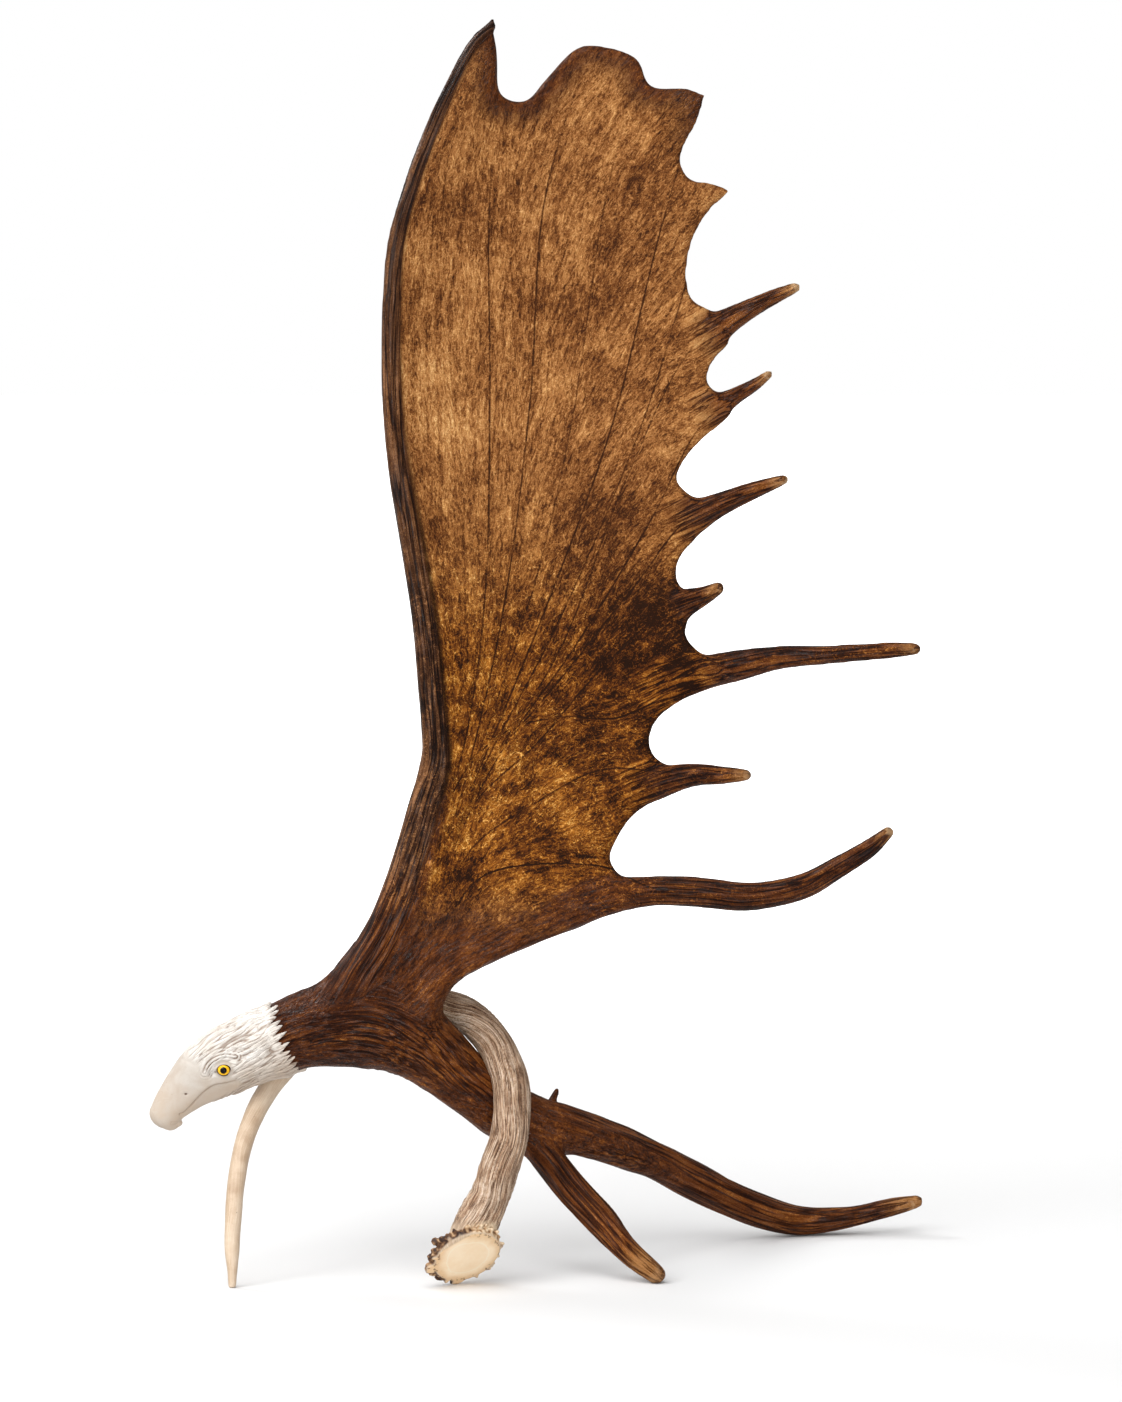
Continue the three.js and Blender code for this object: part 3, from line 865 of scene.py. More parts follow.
# the moose antler's stain: place on the ramp, then the colour, from the grooves to the ridges
stainRamps = {
    "palmTan": [
        (0.06, (0.040, 0.012, 0.003)), (0.28, (0.170, 0.056, 0.013)), (0.50, (0.41, 0.175, 0.052)),
        (0.72, (0.66, 0.350, 0.125)), (0.95, (0.90, 0.62, 0.30)),
    ],
    "palmGold": [
        (0.06, (0.014, 0.004, 0.001)), (0.28, (0.080, 0.021, 0.003)), (0.50, (0.235, 0.072, 0.008)),
        (0.72, (0.47, 0.175, 0.020)), (0.95, (0.84, 0.48, 0.13)),
    ],
    "darkWood": [
        (0.06, (0.008, 0.002, 0.001)), (0.28, (0.036, 0.009, 0.002)), (0.52, (0.094, 0.024, 0.004)),
        (0.74, (0.185, 0.055, 0.009)), (0.95, (0.44, 0.165, 0.035)),
    ],
    "neckWood": [
        (0.08, (0.004, 0.001, 0.000)), (0.30, (0.019, 0.004, 0.001)), (0.54, (0.056, 0.013, 0.002)),
        (0.74, (0.125, 0.034, 0.005)), (0.95, (0.44, 0.16, 0.030)),
    ],
    "bandBrown": [
        (0.10, (0.006, 0.002, 0.001)), (0.32, (0.024, 0.009, 0.004)), (0.54, (0.064, 0.025, 0.010)),
        (0.74, (0.140, 0.058, 0.022)), (0.93, (0.34, 0.155, 0.062)),
    ],
    "wornTip": [(0.15, (0.055, 0.017, 0.005)), (0.45, (0.190, 0.072, 0.018)), (0.75, (0.42, 0.20, 0.068))],
}
grainKinds = {
    "strokes": {"Scale": 620.0, "Stretch": 4.2, "Step": 0.3, "Detail": 1.8, "Distortion": 0.9},
    "streaks": {"Scale": 230.0, "Stretch": 14.0, "Step": 0.18, "Detail": 2.5, "Distortion": 0.15},
    "curls": {"Scale": 225.0, "Stretch": 1.8, "Step": 0.45, "Detail": 1.1, "Distortion": 1.5},
}


def stainedAntlerMaterial():
    material, tree = newMaterial("stainedAntler")
    place = objectPlace(tree)
    grain = attributeOf(tree, "grain", "Vector")
    turn, onLimb, neckZone, shadeZone, tipZone, grooveShadeZone = (
        attributeOf(tree, name)
        for name in ("turn", "limbShare", "neckShare", "shadeShare", "tipShare", "grooveShadeLine")
    )
    stainZone, goldZone, bandZone = attributeOf(tree, "zones", "Vector").parts()
    veinPlace, veinSpacing, veinZone = attributeOf(tree, "veins", "Vector").parts()

    # the grain: short strokes, long streaks and curls on the palm, grooves along the limbs
    strokes, streaks, swirls = (
        addNode(tree, "ShaderNodeGroup", node_tree=growthGrain, Place=place, Turn=turn, **kind)
        for kind in grainKinds.values()
    )
    limbNoise = grain.vector("MULTIPLY", (210.0, 210.0, 8.0)).noise(1.0, 3.0, 0.6, 0.35)
    limbFine = grain.vector("MULTIPLY", (800.0, 800.0, 26.0)).noise(1.0, 2.0, 0.6, 0.2)
    crevices = abs(limbNoise - 0.5).ranged(0.0, 0.085)
    worms = place.noise(135.0, 1.2, 0.5, 1.6).lines(0.022)
    curls = swirls.lines(0.062)
    hairs = strokes.lines(0.035)
    grit = place.noise(950.0, 1.0, 0.5) - 0.5
    mottle = place.noise(80.0, 4.0, 0.6, 0.6)
    blotch = place.noise(34.0, 5.0, 0.65)
    wide = place.noise(18.0, 3.0, 0.55, 0.8) - 0.5
    cloud = place.noise(9.0, 3.0, 0.55)

    # veins: thin furrows along some growth lines, with a light edge
    beside = abs((veinPlace - veinPlace.maths("ROUND")) * veinSpacing)
    veined = veinZone * blotch.ranged(0.38, 0.52, 0.35, 1.0)
    furrow, softLine, besideFurrow = (
        beside.ranged(near, far, 1.0, 0.0) * veined
        for near, far in ((0.0001, 0.0010), (0.0005, 0.0040), (0.0008, 0.0026))
    )

    threads = limbFine.lines(0.022) * blotch.ranged(0.40, 0.58, 0.15, 1.0)
    limbHeight = crevices * 0.24 + limbFine * 0.34 + limbNoise * 0.24 + threads * 0.16 + 0.04
    palmHeight = strokes * 0.42 + streaks * 0.30 + 0.07
    forkHeight = strokes * 0.45 + streaks * 0.50
    offLimb = mixValue(stainZone.ranged(0.5, 1.0), palmHeight, forkHeight)
    wormShare = goldZone.ranged(0.0, 1.0, 0.25, 1.0) * cloud.ranged(0.4, 0.6, 0.6, 1.0)
    curlShare = onLimb.ranged(0.2, 0.9, 1.0, 0.15) * goldZone.ranged(0.0, 1.0, 0.75, 1.0)
    height = mixValue(onLimb, offLimb, limbHeight) + hairs * 0.08 + worms * wormShare * 0.24
    height = height + curls * curlShare * 0.14 - curlShare * 0.02
    height = height + grit * 0.20 + (mottle - 0.5) * goldZone * 0.15
    height = height - furrow * 0.30 + besideFurrow * 0.07

    # tone: from the grooves to the ridges, with slow light and dark patches
    patches = (blotch - 0.5) * 0.55 + (cloud - 0.5) * 0.45 + wide * 0.38
    tone = (height - 0.5) * goldZone.ranged(0.0, 1.0, 1.75, 1.85)
    tone = tone + patches * stainZone.ranged(0.4, 0.9, 1.0, 0.60) * goldZone.ranged(0.0, 1.0, 0.9, 1.35)
    tone = tone + (mottle - 0.5) * goldZone.ranged(0.0, 1.0, 0.2, 0.6) - softLine * 0.12
    tone = tone + goldZone.ranged(0.0, 1.0, 0.465, 0.44) - shadeZone * 0.095
    wood = {name: tone.ramp(stops) for name, stops in stainRamps.items()}
    stainMask = (stainZone + (blotch - 0.5) * 0.5).ranged(0.15, 0.85)
    paleEnd = tipZone.ranged(0.95, 1.0) * mottle.ranged(0.45, 0.58)
    colour = layered(
        wood["palmTan"],
        (goldZone, wood["palmGold"]), (stainMask, wood["darkWood"]), (neckZone, wood["neckWood"]),
        (bandZone * 0.92, wood["bandBrown"]),
        # painted shade: a near-black line in the groove on the band's inner side
        (grooveShadeZone * 0.85, (0.008, 0.004, 0.002)),
        (furrow * 0.8, (0.022, 0.008, 0.003)),
        (tipZone.ranged(0.1, 1.0) * 0.85, wood["wornTip"]),
        (paleEnd * 0.6, (0.56, 0.36, 0.19)),
    )
    relief = height.bump(0.85, 0.0022)
    setSurface(tree, {
        "Base Color": colour,
        "Roughness": tone.ranged(0.25, 0.8, 0.62, 0.42) - stainMask * 0.08,
        "Coat Weight": stainZone.ranged(0.3, 1.0) * limbFine.ranged(0.48, 0.62, 0.0, 0.42),
        "Coat Roughness": 0.16, "Specular IOR Level": 0.07, "Normal": relief, "Coat Normal": relief,
    })
    return material


stainedAntler = stainedAntlerMaterial()
for node, piece in antlerParts.items():
    carryShading(piece)
    layInFrame(piece)
    dressPiece(piece, node + "_antler", node, stainedAntler)
print("moose antler: stained")


# the carved head and its glass eyes
headShape = {
    "voxel": 0.6,
    "stations": [
        (-186, 0, 186.5, 29, 25), (-196, 0, 184, 28.5, 24.5), (-208, 0, 179, 28.5, 24.5),
        (-222, 0, 172.5, 29, 24), (-240, 0, 165, 28, 22.5), (-256, 0, 157, 27, 19.5),
        (-272, 0, 147.5, 23.5, 15.5), (-284, 0, 138, 18, 13), (-294, 0, 127.5, 14, 11.5),
        (-299.5, 0, 119.5, 12, 10.5),
    ],
    "hook": [(-300, 0, 117, 8, 7), (-295, 0, 112, 5, 5), (-289, 0, 113, 2.6, 3)],
    "hair": (25.0, 3.1, 3.0),  # length and width of the ridges, and their seed
    "thinHair": (14.0, 1.5, 8.0),
    "lockWidth": 3.2,
    "lockLength": 22.0,
    "featherHeight": 1.95,
    "throatDepth": 2.8,
    "unevenness": 0.3,
    "hemPlane": (-211.0, 0, 177.0),
    "hemWay": (0.92, 0, 0.39),
    "hemOverlap": 13.5,  # hidden length of the head inside the neck
    "hemStart": -2.0,
    "hemReach": (3.5, 9.0),  # shortest tip, and how much longer the others may be
    "hemSpacing": (3.4, 3.6),
    "hemLean": 0.28,
    "smoothArea": [
        (-330, 200), (-296, 168), (-286, 163.5), (-279, 161), (-273.3, 157.5), (-270.5, 151),
        (-263, 149.5), (-258, 150.5), (-250, 150), (-243, 148.5), (-240, 144), (-246, 138),
        (-258, 131.5), (-268, 124), (-276, 112), (-330, 90),
    ],
    "mouth": [
        (-287.5, 121.2), (-284, 122.6), (-281, 125.5), (-275.8, 131), (-269.7, 137.8), (-261.4, 144.2),
        (-252.4, 145.8), (-244.8, 147.9),
    ],
    "mouthEnds": (-287.5, -243),
    "mouthDepth": 0.75,
    "lipDepth": 1.1,
    "cere": [(-296, 170), (-286, 163.5), (-279, 161), (-273.3, 157.5), (-270.5, 151)],
    "brow": [(-268, 154.5), (-265.5, 160), (-260.5, 164.6), (-253, 167.4), (-244, 167.2)],
    "browWave": 2.5,
    "nostril": (-282.5, 137.1),
    "nostrilSize": (1.4, 0.8),
    "nostrilDepth": 1.5,
    "eyeHollow": 1.3,
    "socketRadius": 5.3,
    "socketDepth": 3.4,
    "upperLid": 2.2,
    "lowerLid": 1.35,
}
eyeShape = {"centre": (-253.3, 17.5, 156.8), "radius": 5.2, "cornea": 0.5, "pupil": 0.0026}


def pointsInside(plane, corners):
    inside = np.zeros(len(plane), bool)
    for (ax, az), (bx, bz) in zip(corners, corners[1:] + corners[:1]):
        crosses = (az > plane[:, 1]) != (bz > plane[:, 1])
        where = ax + (plane[:, 1] - az) * (bx - ax) / (bz - az if bz != az else 1e-9)
        inside ^= crosses & (plane[:, 0] < where)
    return inside


def lineDistance(plane, corners, spacing=0.25):
    # distance to a smooth line through the corners
    return nearestOn(evenPoints(corners, spacing), plane)[1]


def hairRidges(run, down, longUnit, wideUnit, seed):
    # long rounded ridges that fork and join, from 0 in the thin grooves to 1
    place = np.column_stack([run / longUnit, down / wideUnit, 0 * run])
    return np.clip(np.abs(softNoise(place, 1.0, seed)) * 3.4, 0, 1) ** 0.6


def carveLocks(run, down):
    # pointed, overlapping locks in rows along the head, each rising to its tip
    row = np.floor(down / headShape["lockWidth"])
    beside = down / headShape["lockWidth"] - row - 0.5
    rng = np.random.default_rng(4)
    offsets = rng.random(400)
    grow = headShape["lockLength"] * (0.75 + 0.6 * rng.random(400))
    pick = row.astype(int) % 400
    along = (run / grow[pick] + offsets[pick]) % 1.0
    half = 0.5 * (1 - smoothStep(0.55, 1.0, along) * 0.9)
    return smoothStep(0.0, 0.12, half - np.abs(beside)) * (0.25 + 0.75 * along)


def buildHead():
    shape = headShape
    parts = [addLimb(shape["stations"], 64, 1.2), addLimb(shape["hook"], 32, 0.8)]
    head = joinAndRemesh(parts, "eagleHead", shape["voxel"])
    hemPlane = np.array(shape["hemPlane"], float)
    hemWay = unit(np.array(shape["hemWay"], float))
    cutOff(head, tuple(hemPlane + shape["hemOverlap"] * hemWay), tuple(hemWay))
    relax(head, 0.5, 8)
    points = readPoints(head)
    normals = readNormals(head)

    # run: length from the beak's end back to the neck; down: length round the head from its crown
    line, sizes, along, up, _, runAlong = limbAxes(shape["stations"], np.linspace(1, 0, 240))
    index, _ = nearestOn(line, points)
    offset = points - line[index]
    run = runAlong[index] + (offset * along[index]).sum(1)
    turned = np.arctan2(np.abs(points[:, 1]), (offset * up[index]).sum(1))
    down = turned * sizes[index].mean(1)
    plane = points[:, [0, 2]]
    sideways = smoothStep(0.25, 0.6, np.abs(normals[:, 1]))
    throat = smoothStep(1.9, 2.7, turned) * smoothStep(18, 42, run) * fadeOut(88, 104, run)

    # locks bend round the eye and wave along the head
    eyeX, eyeY, eyeZ = eyeShape["centre"]
    toEye = plane - (eyeX, eyeZ)
    fromEye = np.linalg.norm(toEye, axis=1)
    eyeIndex = nearestOn(line, np.array([[eyeX, 0, eyeZ]]))[0][0]
    eyeHigh = ((np.array([eyeX, 0, eyeZ]) - line[eyeIndex]) * up[eyeIndex]).sum()
    eyeDown = np.arctan2(eyeY, eyeHigh) * sizes[eyeIndex].mean()
    pull = bell(run - runAlong[eyeIndex], 13) * bell(down - eyeDown, 10)
    wavy = np.column_stack([run / 1.9, down, 0 * run])
    bent = down + 5.0 * pull * np.tanh((eyeDown - down) / 3)
    bent += 3.1 * softNoise(wavy, 13.0, 5.0) + 0.7 * softNoise(wavy, 6.0, 9.0)
    bent += 2.6 * softNoise(wavy, 17.0, 31.0) * smoothStep(25, 55, down)

    # feathers everywhere but on the beak and in the eye socket
    area = shape["smoothArea"]
    areaEdge = np.vstack([np.linspace(a, b, 40) for a, b in zip(area, area[1:])])
    toSmooth = nearestOn(areaEdge, plane)[1] * np.where(pointsInside(plane, area), -1, 1)
    ahead = np.clip((-262 - plane[:, 0]) / 10, 0, 1)
    feathered = smoothStep(-0.5, 2.0 + 6.0 * ahead, toSmooth) * smoothStep(6.6, 8.6, fromEye)
    plumage = 0.80 * hairRidges(run, bent, *shape["hair"]) + 0.08 * hairRidges(run, bent, *shape["thinHair"])
    plumage = plumage + 0.26 * carveLocks(run, bent) * (0.3 + 0.7 * smoothStep(60, 95, run))
    lift = feathered * (plumage - 0.6) * (shape["featherHeight"] - 0.45 * smoothStep(36, 60, down))
    lift -= shape["throatDepth"] * throat

    # eye socket, lids and brow
    slanted = (toEye[:, 0] + 0.15 * toEye[:, 1], 1.42 * (toEye[:, 1] - 0.22 * toEye[:, 0]))
    socket = np.hypot(*slanted) / shape["socketRadius"]
    lidSize = np.where(toEye[:, 1] > 0, shape["upperLid"], shape["lowerLid"])
    browLine = lineDistance(plane, shape["brow"])
    overBrow = np.exp(-np.maximum(browLine - 1.0, 0) / 3.0) * smoothStep(-1.5, 1.0, fromEye - 7.0)
    browWave = np.cos(browLine * 2 * math.pi / shape["browWave"])
    lift -= shape["eyeHollow"] * bell(fromEye - 1.0, 6.6) * sideways
    lift += lidSize * bell(socket - 1.16, 0.15) * sideways
    lift -= shape["socketDepth"] * fadeOut(0.84, 1.02, socket) * sideways
    lift += sideways * overBrow * (0.75 * browWave + 0.45)
    relief = plumage + overBrow * sideways * (0.4 * browWave + 0.3 - 0.5 * plumage)

    # beak: edge of the feathers, mouth and nostril
    mouth = lineDistance(plane, shape["mouth"])
    below = plane[:, 1] < np.interp(plane[:, 0], *np.array(shape["mouth"]).T)
    inMouth = (plane[:, 0] > shape["mouthEnds"][0]) & (plane[:, 0] < shape["mouthEnds"][1])
    nostril = np.exp(-(((plane - shape["nostril"]) / shape["nostrilSize"]) ** 2).sum(1)) * sideways
    lift -= 0.2 * bell(lineDistance(plane, shape["cere"]), 1.2) * sideways
    lift -= shape["mouthDepth"] * bell(mouth, 0.75) * sideways
    lift -= shape["lipDepth"] * np.exp(-mouth / 4.5) * (below & inMouth) * sideways
    lift -= shape["nostrilDepth"] * nostril
    lift += shape["unevenness"] * softNoise(points, 14.0, 2.0)

    # the ragged hem of feathers lies on the neck, and beyond it the head is sunk in the neck
    tips = np.random.default_rng(12)
    narrow, wider = shape["hemSpacing"]
    hemPlaces = np.cumsum(narrow + wider * tips.random(50)) - 2
    hemLong = tips.random(50)
    skewed = bent + shape["hemLean"] * (run - 90)
    tip = np.argmin(np.abs(skewed[:, None] - hemPlaces[None]), axis=1)
    beside = np.clip(np.abs(skewed - hemPlaces[tip]) / (np.gradient(hemPlaces)[tip] * 0.5), 0, 1)
    past = (points - hemPlane) @ hemWay
    shortest, longer = shape["hemReach"]
    reach = shape["hemStart"] + (shortest + longer * hemLong[tip]) * (1 - beside) ** 0.62
    covered = smoothStep(-0.9, 0.9, reach - past)
    neckAway, _ = limbFrame(points, antlerLimbs["neck"])
    inHem = smoothStep(-10, -3, past)
    aim = covered * (0.8 + 0.55 * relief) - (1 - covered) * (2.6 + 0.25 * np.maximum(past, 0))
    lift = lift * (1 - inHem) + (aim - neckAway) * inHem
    # in the hem the shift is square to the axis, and the hidden end face shrinks
    outward = unit(offset - along[index] * (offset * along[index]).sum(1, keepdims=True))
    shift = unit(normals * (1 - inHem)[:, None] + outward * inHem[:, None])
    endFace = smoothStep(0.55, 0.85, normals @ hemWay) * (past > 9)
    lift = lift * (1 - endFace) - 0.3 * endFace * np.linalg.norm(offset, axis=1)
    writePoints(head, points + shift * lift[:, None])
    relax(head, 0.3 * inHem + 0.12, 1)

    # painted shadow: a dark line round the socket under the overhanging lids, and a dark inner corner of
    # painted shade
    lidShadowLine = bell(socket - 1.0, 0.10) * sideways * np.where(toEye[:, 1] > 0, 1.0, 0.7)
    corner = np.exp(-(((toEye + [6.4, 1.7]) / [1.3, 0.8]) ** 2).sum(1)) * sideways
    storeAttribute(head, "strand", bent * mm, run * mm, feathered)
    storeAttribute(head, "carving", relief, mouth * mm, nostril)
    # shade attribute: a painted shadow round the eye, the tan beak end, and the underside for painted shade
    # and dirt
    shades = (np.maximum(lidShadowLine, corner), fadeOut(2, 26, run), smoothStep(1.5, 2.7, turned))
    storeAttribute(head, "shade", *shades)
    layInFrame(head)
    return head


def ivoryMaterial():
    material, tree = newMaterial("carvedIvory")
    place = objectPlace(tree)
    strand = attributeOf(tree, "strand", "Vector")
    feathered = strand.parts()[2]
    relief, mouth, nostril = attributeOf(tree, "carving", "Vector").parts()
    lidShadow, beakEnd, undersideShadeAndDirt = attributeOf(tree, "shade", "Vector").parts()
    cloud = place.noise(70.0, 4.0, 0.6, 0.5)
    wash = place.noise(26.0, 3.0, 0.55)
    pores = place.noise(420.0, 2.0, 0.5)
    # fine knife lines between the ridges
    knife = strand.vector("MULTIPLY", (620.0, 62.0, 0.0)).noise(1.0, 2.0, 0.5, 0.2).lines(0.055) * feathered
    cracks = place.noise(48.0, 2.0, 0.5, 0.8).lines(0.010)
    bare = mixColour(cloud.ranged(0.40, 0.70), (0.54, 0.49, 0.435), (0.47, 0.40, 0.335))
    plumed = mixColour(cloud.ranged(0.40, 0.75), (0.76, 0.72, 0.67), (0.66, 0.59, 0.52))
    colour = layered(
        bare,
        (feathered, plumed),
        # painted shade and dirt: darker tan over the head's underside, mixed with a soft wash
        (undersideShadeAndDirt * 0.55 + wash.ranged(0.45, 0.65) * 0.25, (0.50, 0.385, 0.285)),
        # painted shade: the grooves between the feathers darkened to brown
        (relief.ranged(0.22, 0.62, 1.0, 0.0) * feathered * 0.85, (0.26, 0.18, 0.13)),
        (knife * 0.28, (0.36, 0.25, 0.18)),
        (cracks * beakEnd * 0.45, (0.34, 0.21, 0.12)),
        (beakEnd * cloud.ranged(0.35, 0.65, 0.35, 0.9) * 0.6, (0.54, 0.42, 0.31)),
        # painted shade along the carved mouth line
        (mouth.ranged(0.0001, 0.0012, 0.55, 0.0), (0.30, 0.19, 0.12)),
        # painted shade in the nostril's hollow
        (nostril.ranged(0.35, 0.7), (0.08, 0.035, 0.016)),
        # painted shadow of the lids round the eye
        (lidShadow * 0.85, (0.09, 0.045, 0.025)),
        (pores.ranged(0.70, 0.78, 0.0, 0.35), (0.36, 0.24, 0.15)),
    )
    height = knife * -0.9 + pores * 0.10 + cloud * 0.3
    setSurface(tree, {
        "Base Color": colour, "Roughness": cloud.ranged(0.3, 0.7, 0.40, 0.54),
        "Specular IOR Level": 0.4, "Normal": height.bump(0.7, 0.0007),
    })
    return material


def buildEye(side):
    # a glass ball with a slightly domed front
    x, y, z = eyeShape["centre"]
    radius = eyeShape["radius"]
    clearSelection()
    bpy.ops.mesh.primitive_uv_sphere_add(
        segments=48, ring_count=32, radius=radius, rotation=(math.pi / 2, 0, 0)
    )
    eye = bpy.context.object
    bpy.ops.object.transform_apply(location=False, rotation=True, scale=True)
    points = readPoints(eye)
    front = np.clip(side * points[:, 1] / radius, 0, 1)
    points[:, 1] += side * (front ** 10) * eyeShape["cornea"]
    writePoints(eye, points + np.array([x, side * y, z]))
    shadeSmooth(eye)
    layInFrame(eye)
    return eye


def eyeMaterial():
    material, tree = newMaterial("eyeGlass")
    x, _, z = (np.array(eyeShape["centre"]) + centring) * mm
    flat = objectPlace(tree).vector("SUBTRACT", (x, 0, z)).vector("MULTIPLY", (1.0, 0.0, 1.0))
    out = flat.vector("LENGTH")
    # painted shadow of the lids: a near-black ring on the glass round a flattened opening
    lidShadowRing = flat.vector("MULTIPLY", (1.0, 0.0, 1.2)).vector("LENGTH")  # the lids leave a flattened opening
    pupil = eyeShape["pupil"]
    amber = mixColour(
        flat.noise(900.0, 3.0, 0.6).ranged(0.35, 0.65), (0.90, 0.42, 0.010), (0.98, 0.62, 0.03)
    )
    colour = layered(
        amber,
        (out.ranged(0.0040, 0.0049, 0.0, 0.85), (0.30, 0.10, 0.004)),
        (out.ranged(pupil - 0.0002, pupil + 0.0001, 1.0, 0.0), (0.003, 0.002, 0.002)),
        (lidShadowRing.ranged(0.0043, 0.0047), (0.012, 0.007, 0.004)),
    )
    setSurface(tree, {"Base Color": colour, "Roughness": 0.10, "Specular IOR Level": 0.16})
    return material


eagleHead = buildHead()
dressPiece(eagleHead, "eagle_head_shape", "eagle_head", ivoryMaterial())
print("eagle head: carved,", len(eagleHead.data.polygons), "faces")

eyeGlass = eyeMaterial()
for side, node in ((-1, "eye_left"), (1, "eye_right")):
    dressPiece(buildEye(side), node + "_shape", node, eyeGlass)
print("eyes: set")


# the pale deer antler
supportShape = {
    "voxel": 0.9,
    "stations": [
        (-67, -53, 36, 17, 17), (-63, -48, 45, 16.5, 16.5), (-59, -44, 54, 15.8, 15.8),
        (-53, -39, 65, 14.8, 14.8), (-45, -30, 88, 14.6, 14.6), (-39, -21, 107, 14.2, 14.2),
        (-37, -12, 125, 14, 14), (-37.5, -3, 141, 13.8, 13.8), (-43, 6, 158, 13.7, 13.7),
        (-56, 18, 178, 13.6, 13.6), (-76, 30, 193, 13, 13), (-112, 38, 200, 11.3, 11.3),
        (-146, 40, 197, 10.3, 10.3), (-180, 38, 179, 9.5, 9.5), (-205, 29, 156, 8.9, 8.9),
        (-222, 14, 136, 8.3, 8.3), (-231, 0, 121, 7.7, 7.7), (-239, -14, 100, 7, 7),
        (-243.5, -30, 75, 6.7, 6.7), (-245, -42, 53, 6.4, 6.4), (-245.5, -52, 29, 5.6, 5.6),
        (-245, -58, 12, 4, 4), (-245, -60, 1.4, 3.2, 3.2),
    ],
    "face": (-69.5, -63, 23),
    "inward": (-0.34, 0.73, 0.59),
    "profile": [(0, 0), (0, 25.4), (1.2, 26.4), (3.5, 27.0), (6.5, 26.0), (9.5, 22), (13, 18), (20, 0)],
    "foot": [(-73, -55, 10, 6, 6), (-76, -50, 4, 4.5, 4.5)],
    "knobs": 54,
    "roughSide": 3.7,
    "knobRing": (26.2, 1.8, 8.0),  # radius, and the nearest and farthest place behind the face
    "knobSize": (1.2, 1.4),  # smallest, and how much larger the others may be
    "knobStretch": 0.5,
    "furrowUnits": (7.4, 70.0),
    "furrowDepth": 0.5,
    "fineDepth": 0.42,
    "bumpHeight": 0.75,
    "unevenness": 0.4,
    "rubbedFrom": -76,
    "rubbedDepth": 3.6,
}


def faceAxes(inward):
    right = unit(np.cross(inward, np.array([0.0, 0, 1])))
    return right, np.cross(right, inward)


def addBurrDisc(face, inward):
    # a turned disc from a ball primitive, tipped so that its flat face looks outwards
    disc, down, angle = addBall(72, 40)
    profile = np.array(supportShape["profile"], float)
    run = lengthSoFar(profile)
    behind, radius = (np.interp(down * run[-1], run, column) for column in profile.T)
    radius = np.where((down < 1e-6) | (down > 1 - 1e-6), 0, radius)
    right, upward = faceAxes(inward)
    across = right * (radius * np.cos(angle))[:, None] - upward * (radius * np.sin(angle))[:, None]
    writePoints(disc, face + inward * behind[:, None] + across)
    return disc


def addKnobs(face, inward):
    # the burr's pearls: small balls in an uneven ring, a few pulled out to spikes
    rng = np.random.default_rng(21)
    right, upward = faceAxes(inward)
    ringRadius, nearFace, farFace = supportShape["knobRing"]
    smallest, larger = supportShape["knobSize"]
    knobs = []
    for i in range(supportShape["knobs"]):
        angle = 2 * math.pi * (i + 0.7 * rng.random()) / supportShape["knobs"]
        lowLeft = 0.5 + 0.5 * math.cos(angle - supportShape["roughSide"])
        size = (smallest + larger * rng.random() ** 1.7) * (0.85 + 0.7 * lowLeft)
        behind = nearFace + (farFace - nearFace) * rng.random() ** 1.4
        out = ringRadius + 2.8 * rng.random() ** 1.2 * (0.8 + 0.4 * lowLeft)
        way = right * math.cos(angle) + upward * math.sin(angle)
        place = face + inward * behind + way * out
        clearSelection()
        bpy.ops.mesh.primitive_ico_sphere_add(subdivisions=3, radius=size, location=tuple(place))
        knob = bpy.context.object
        bpy.ops.object.transform_apply(location=True, rotation=True, scale=True)
        points = readPoints(knob) - place
        points += way * ((points @ way)[:, None] * supportShape["knobStretch"])
        writePoints(knob, points + place)
        knobs.append(knob)
    return knobs


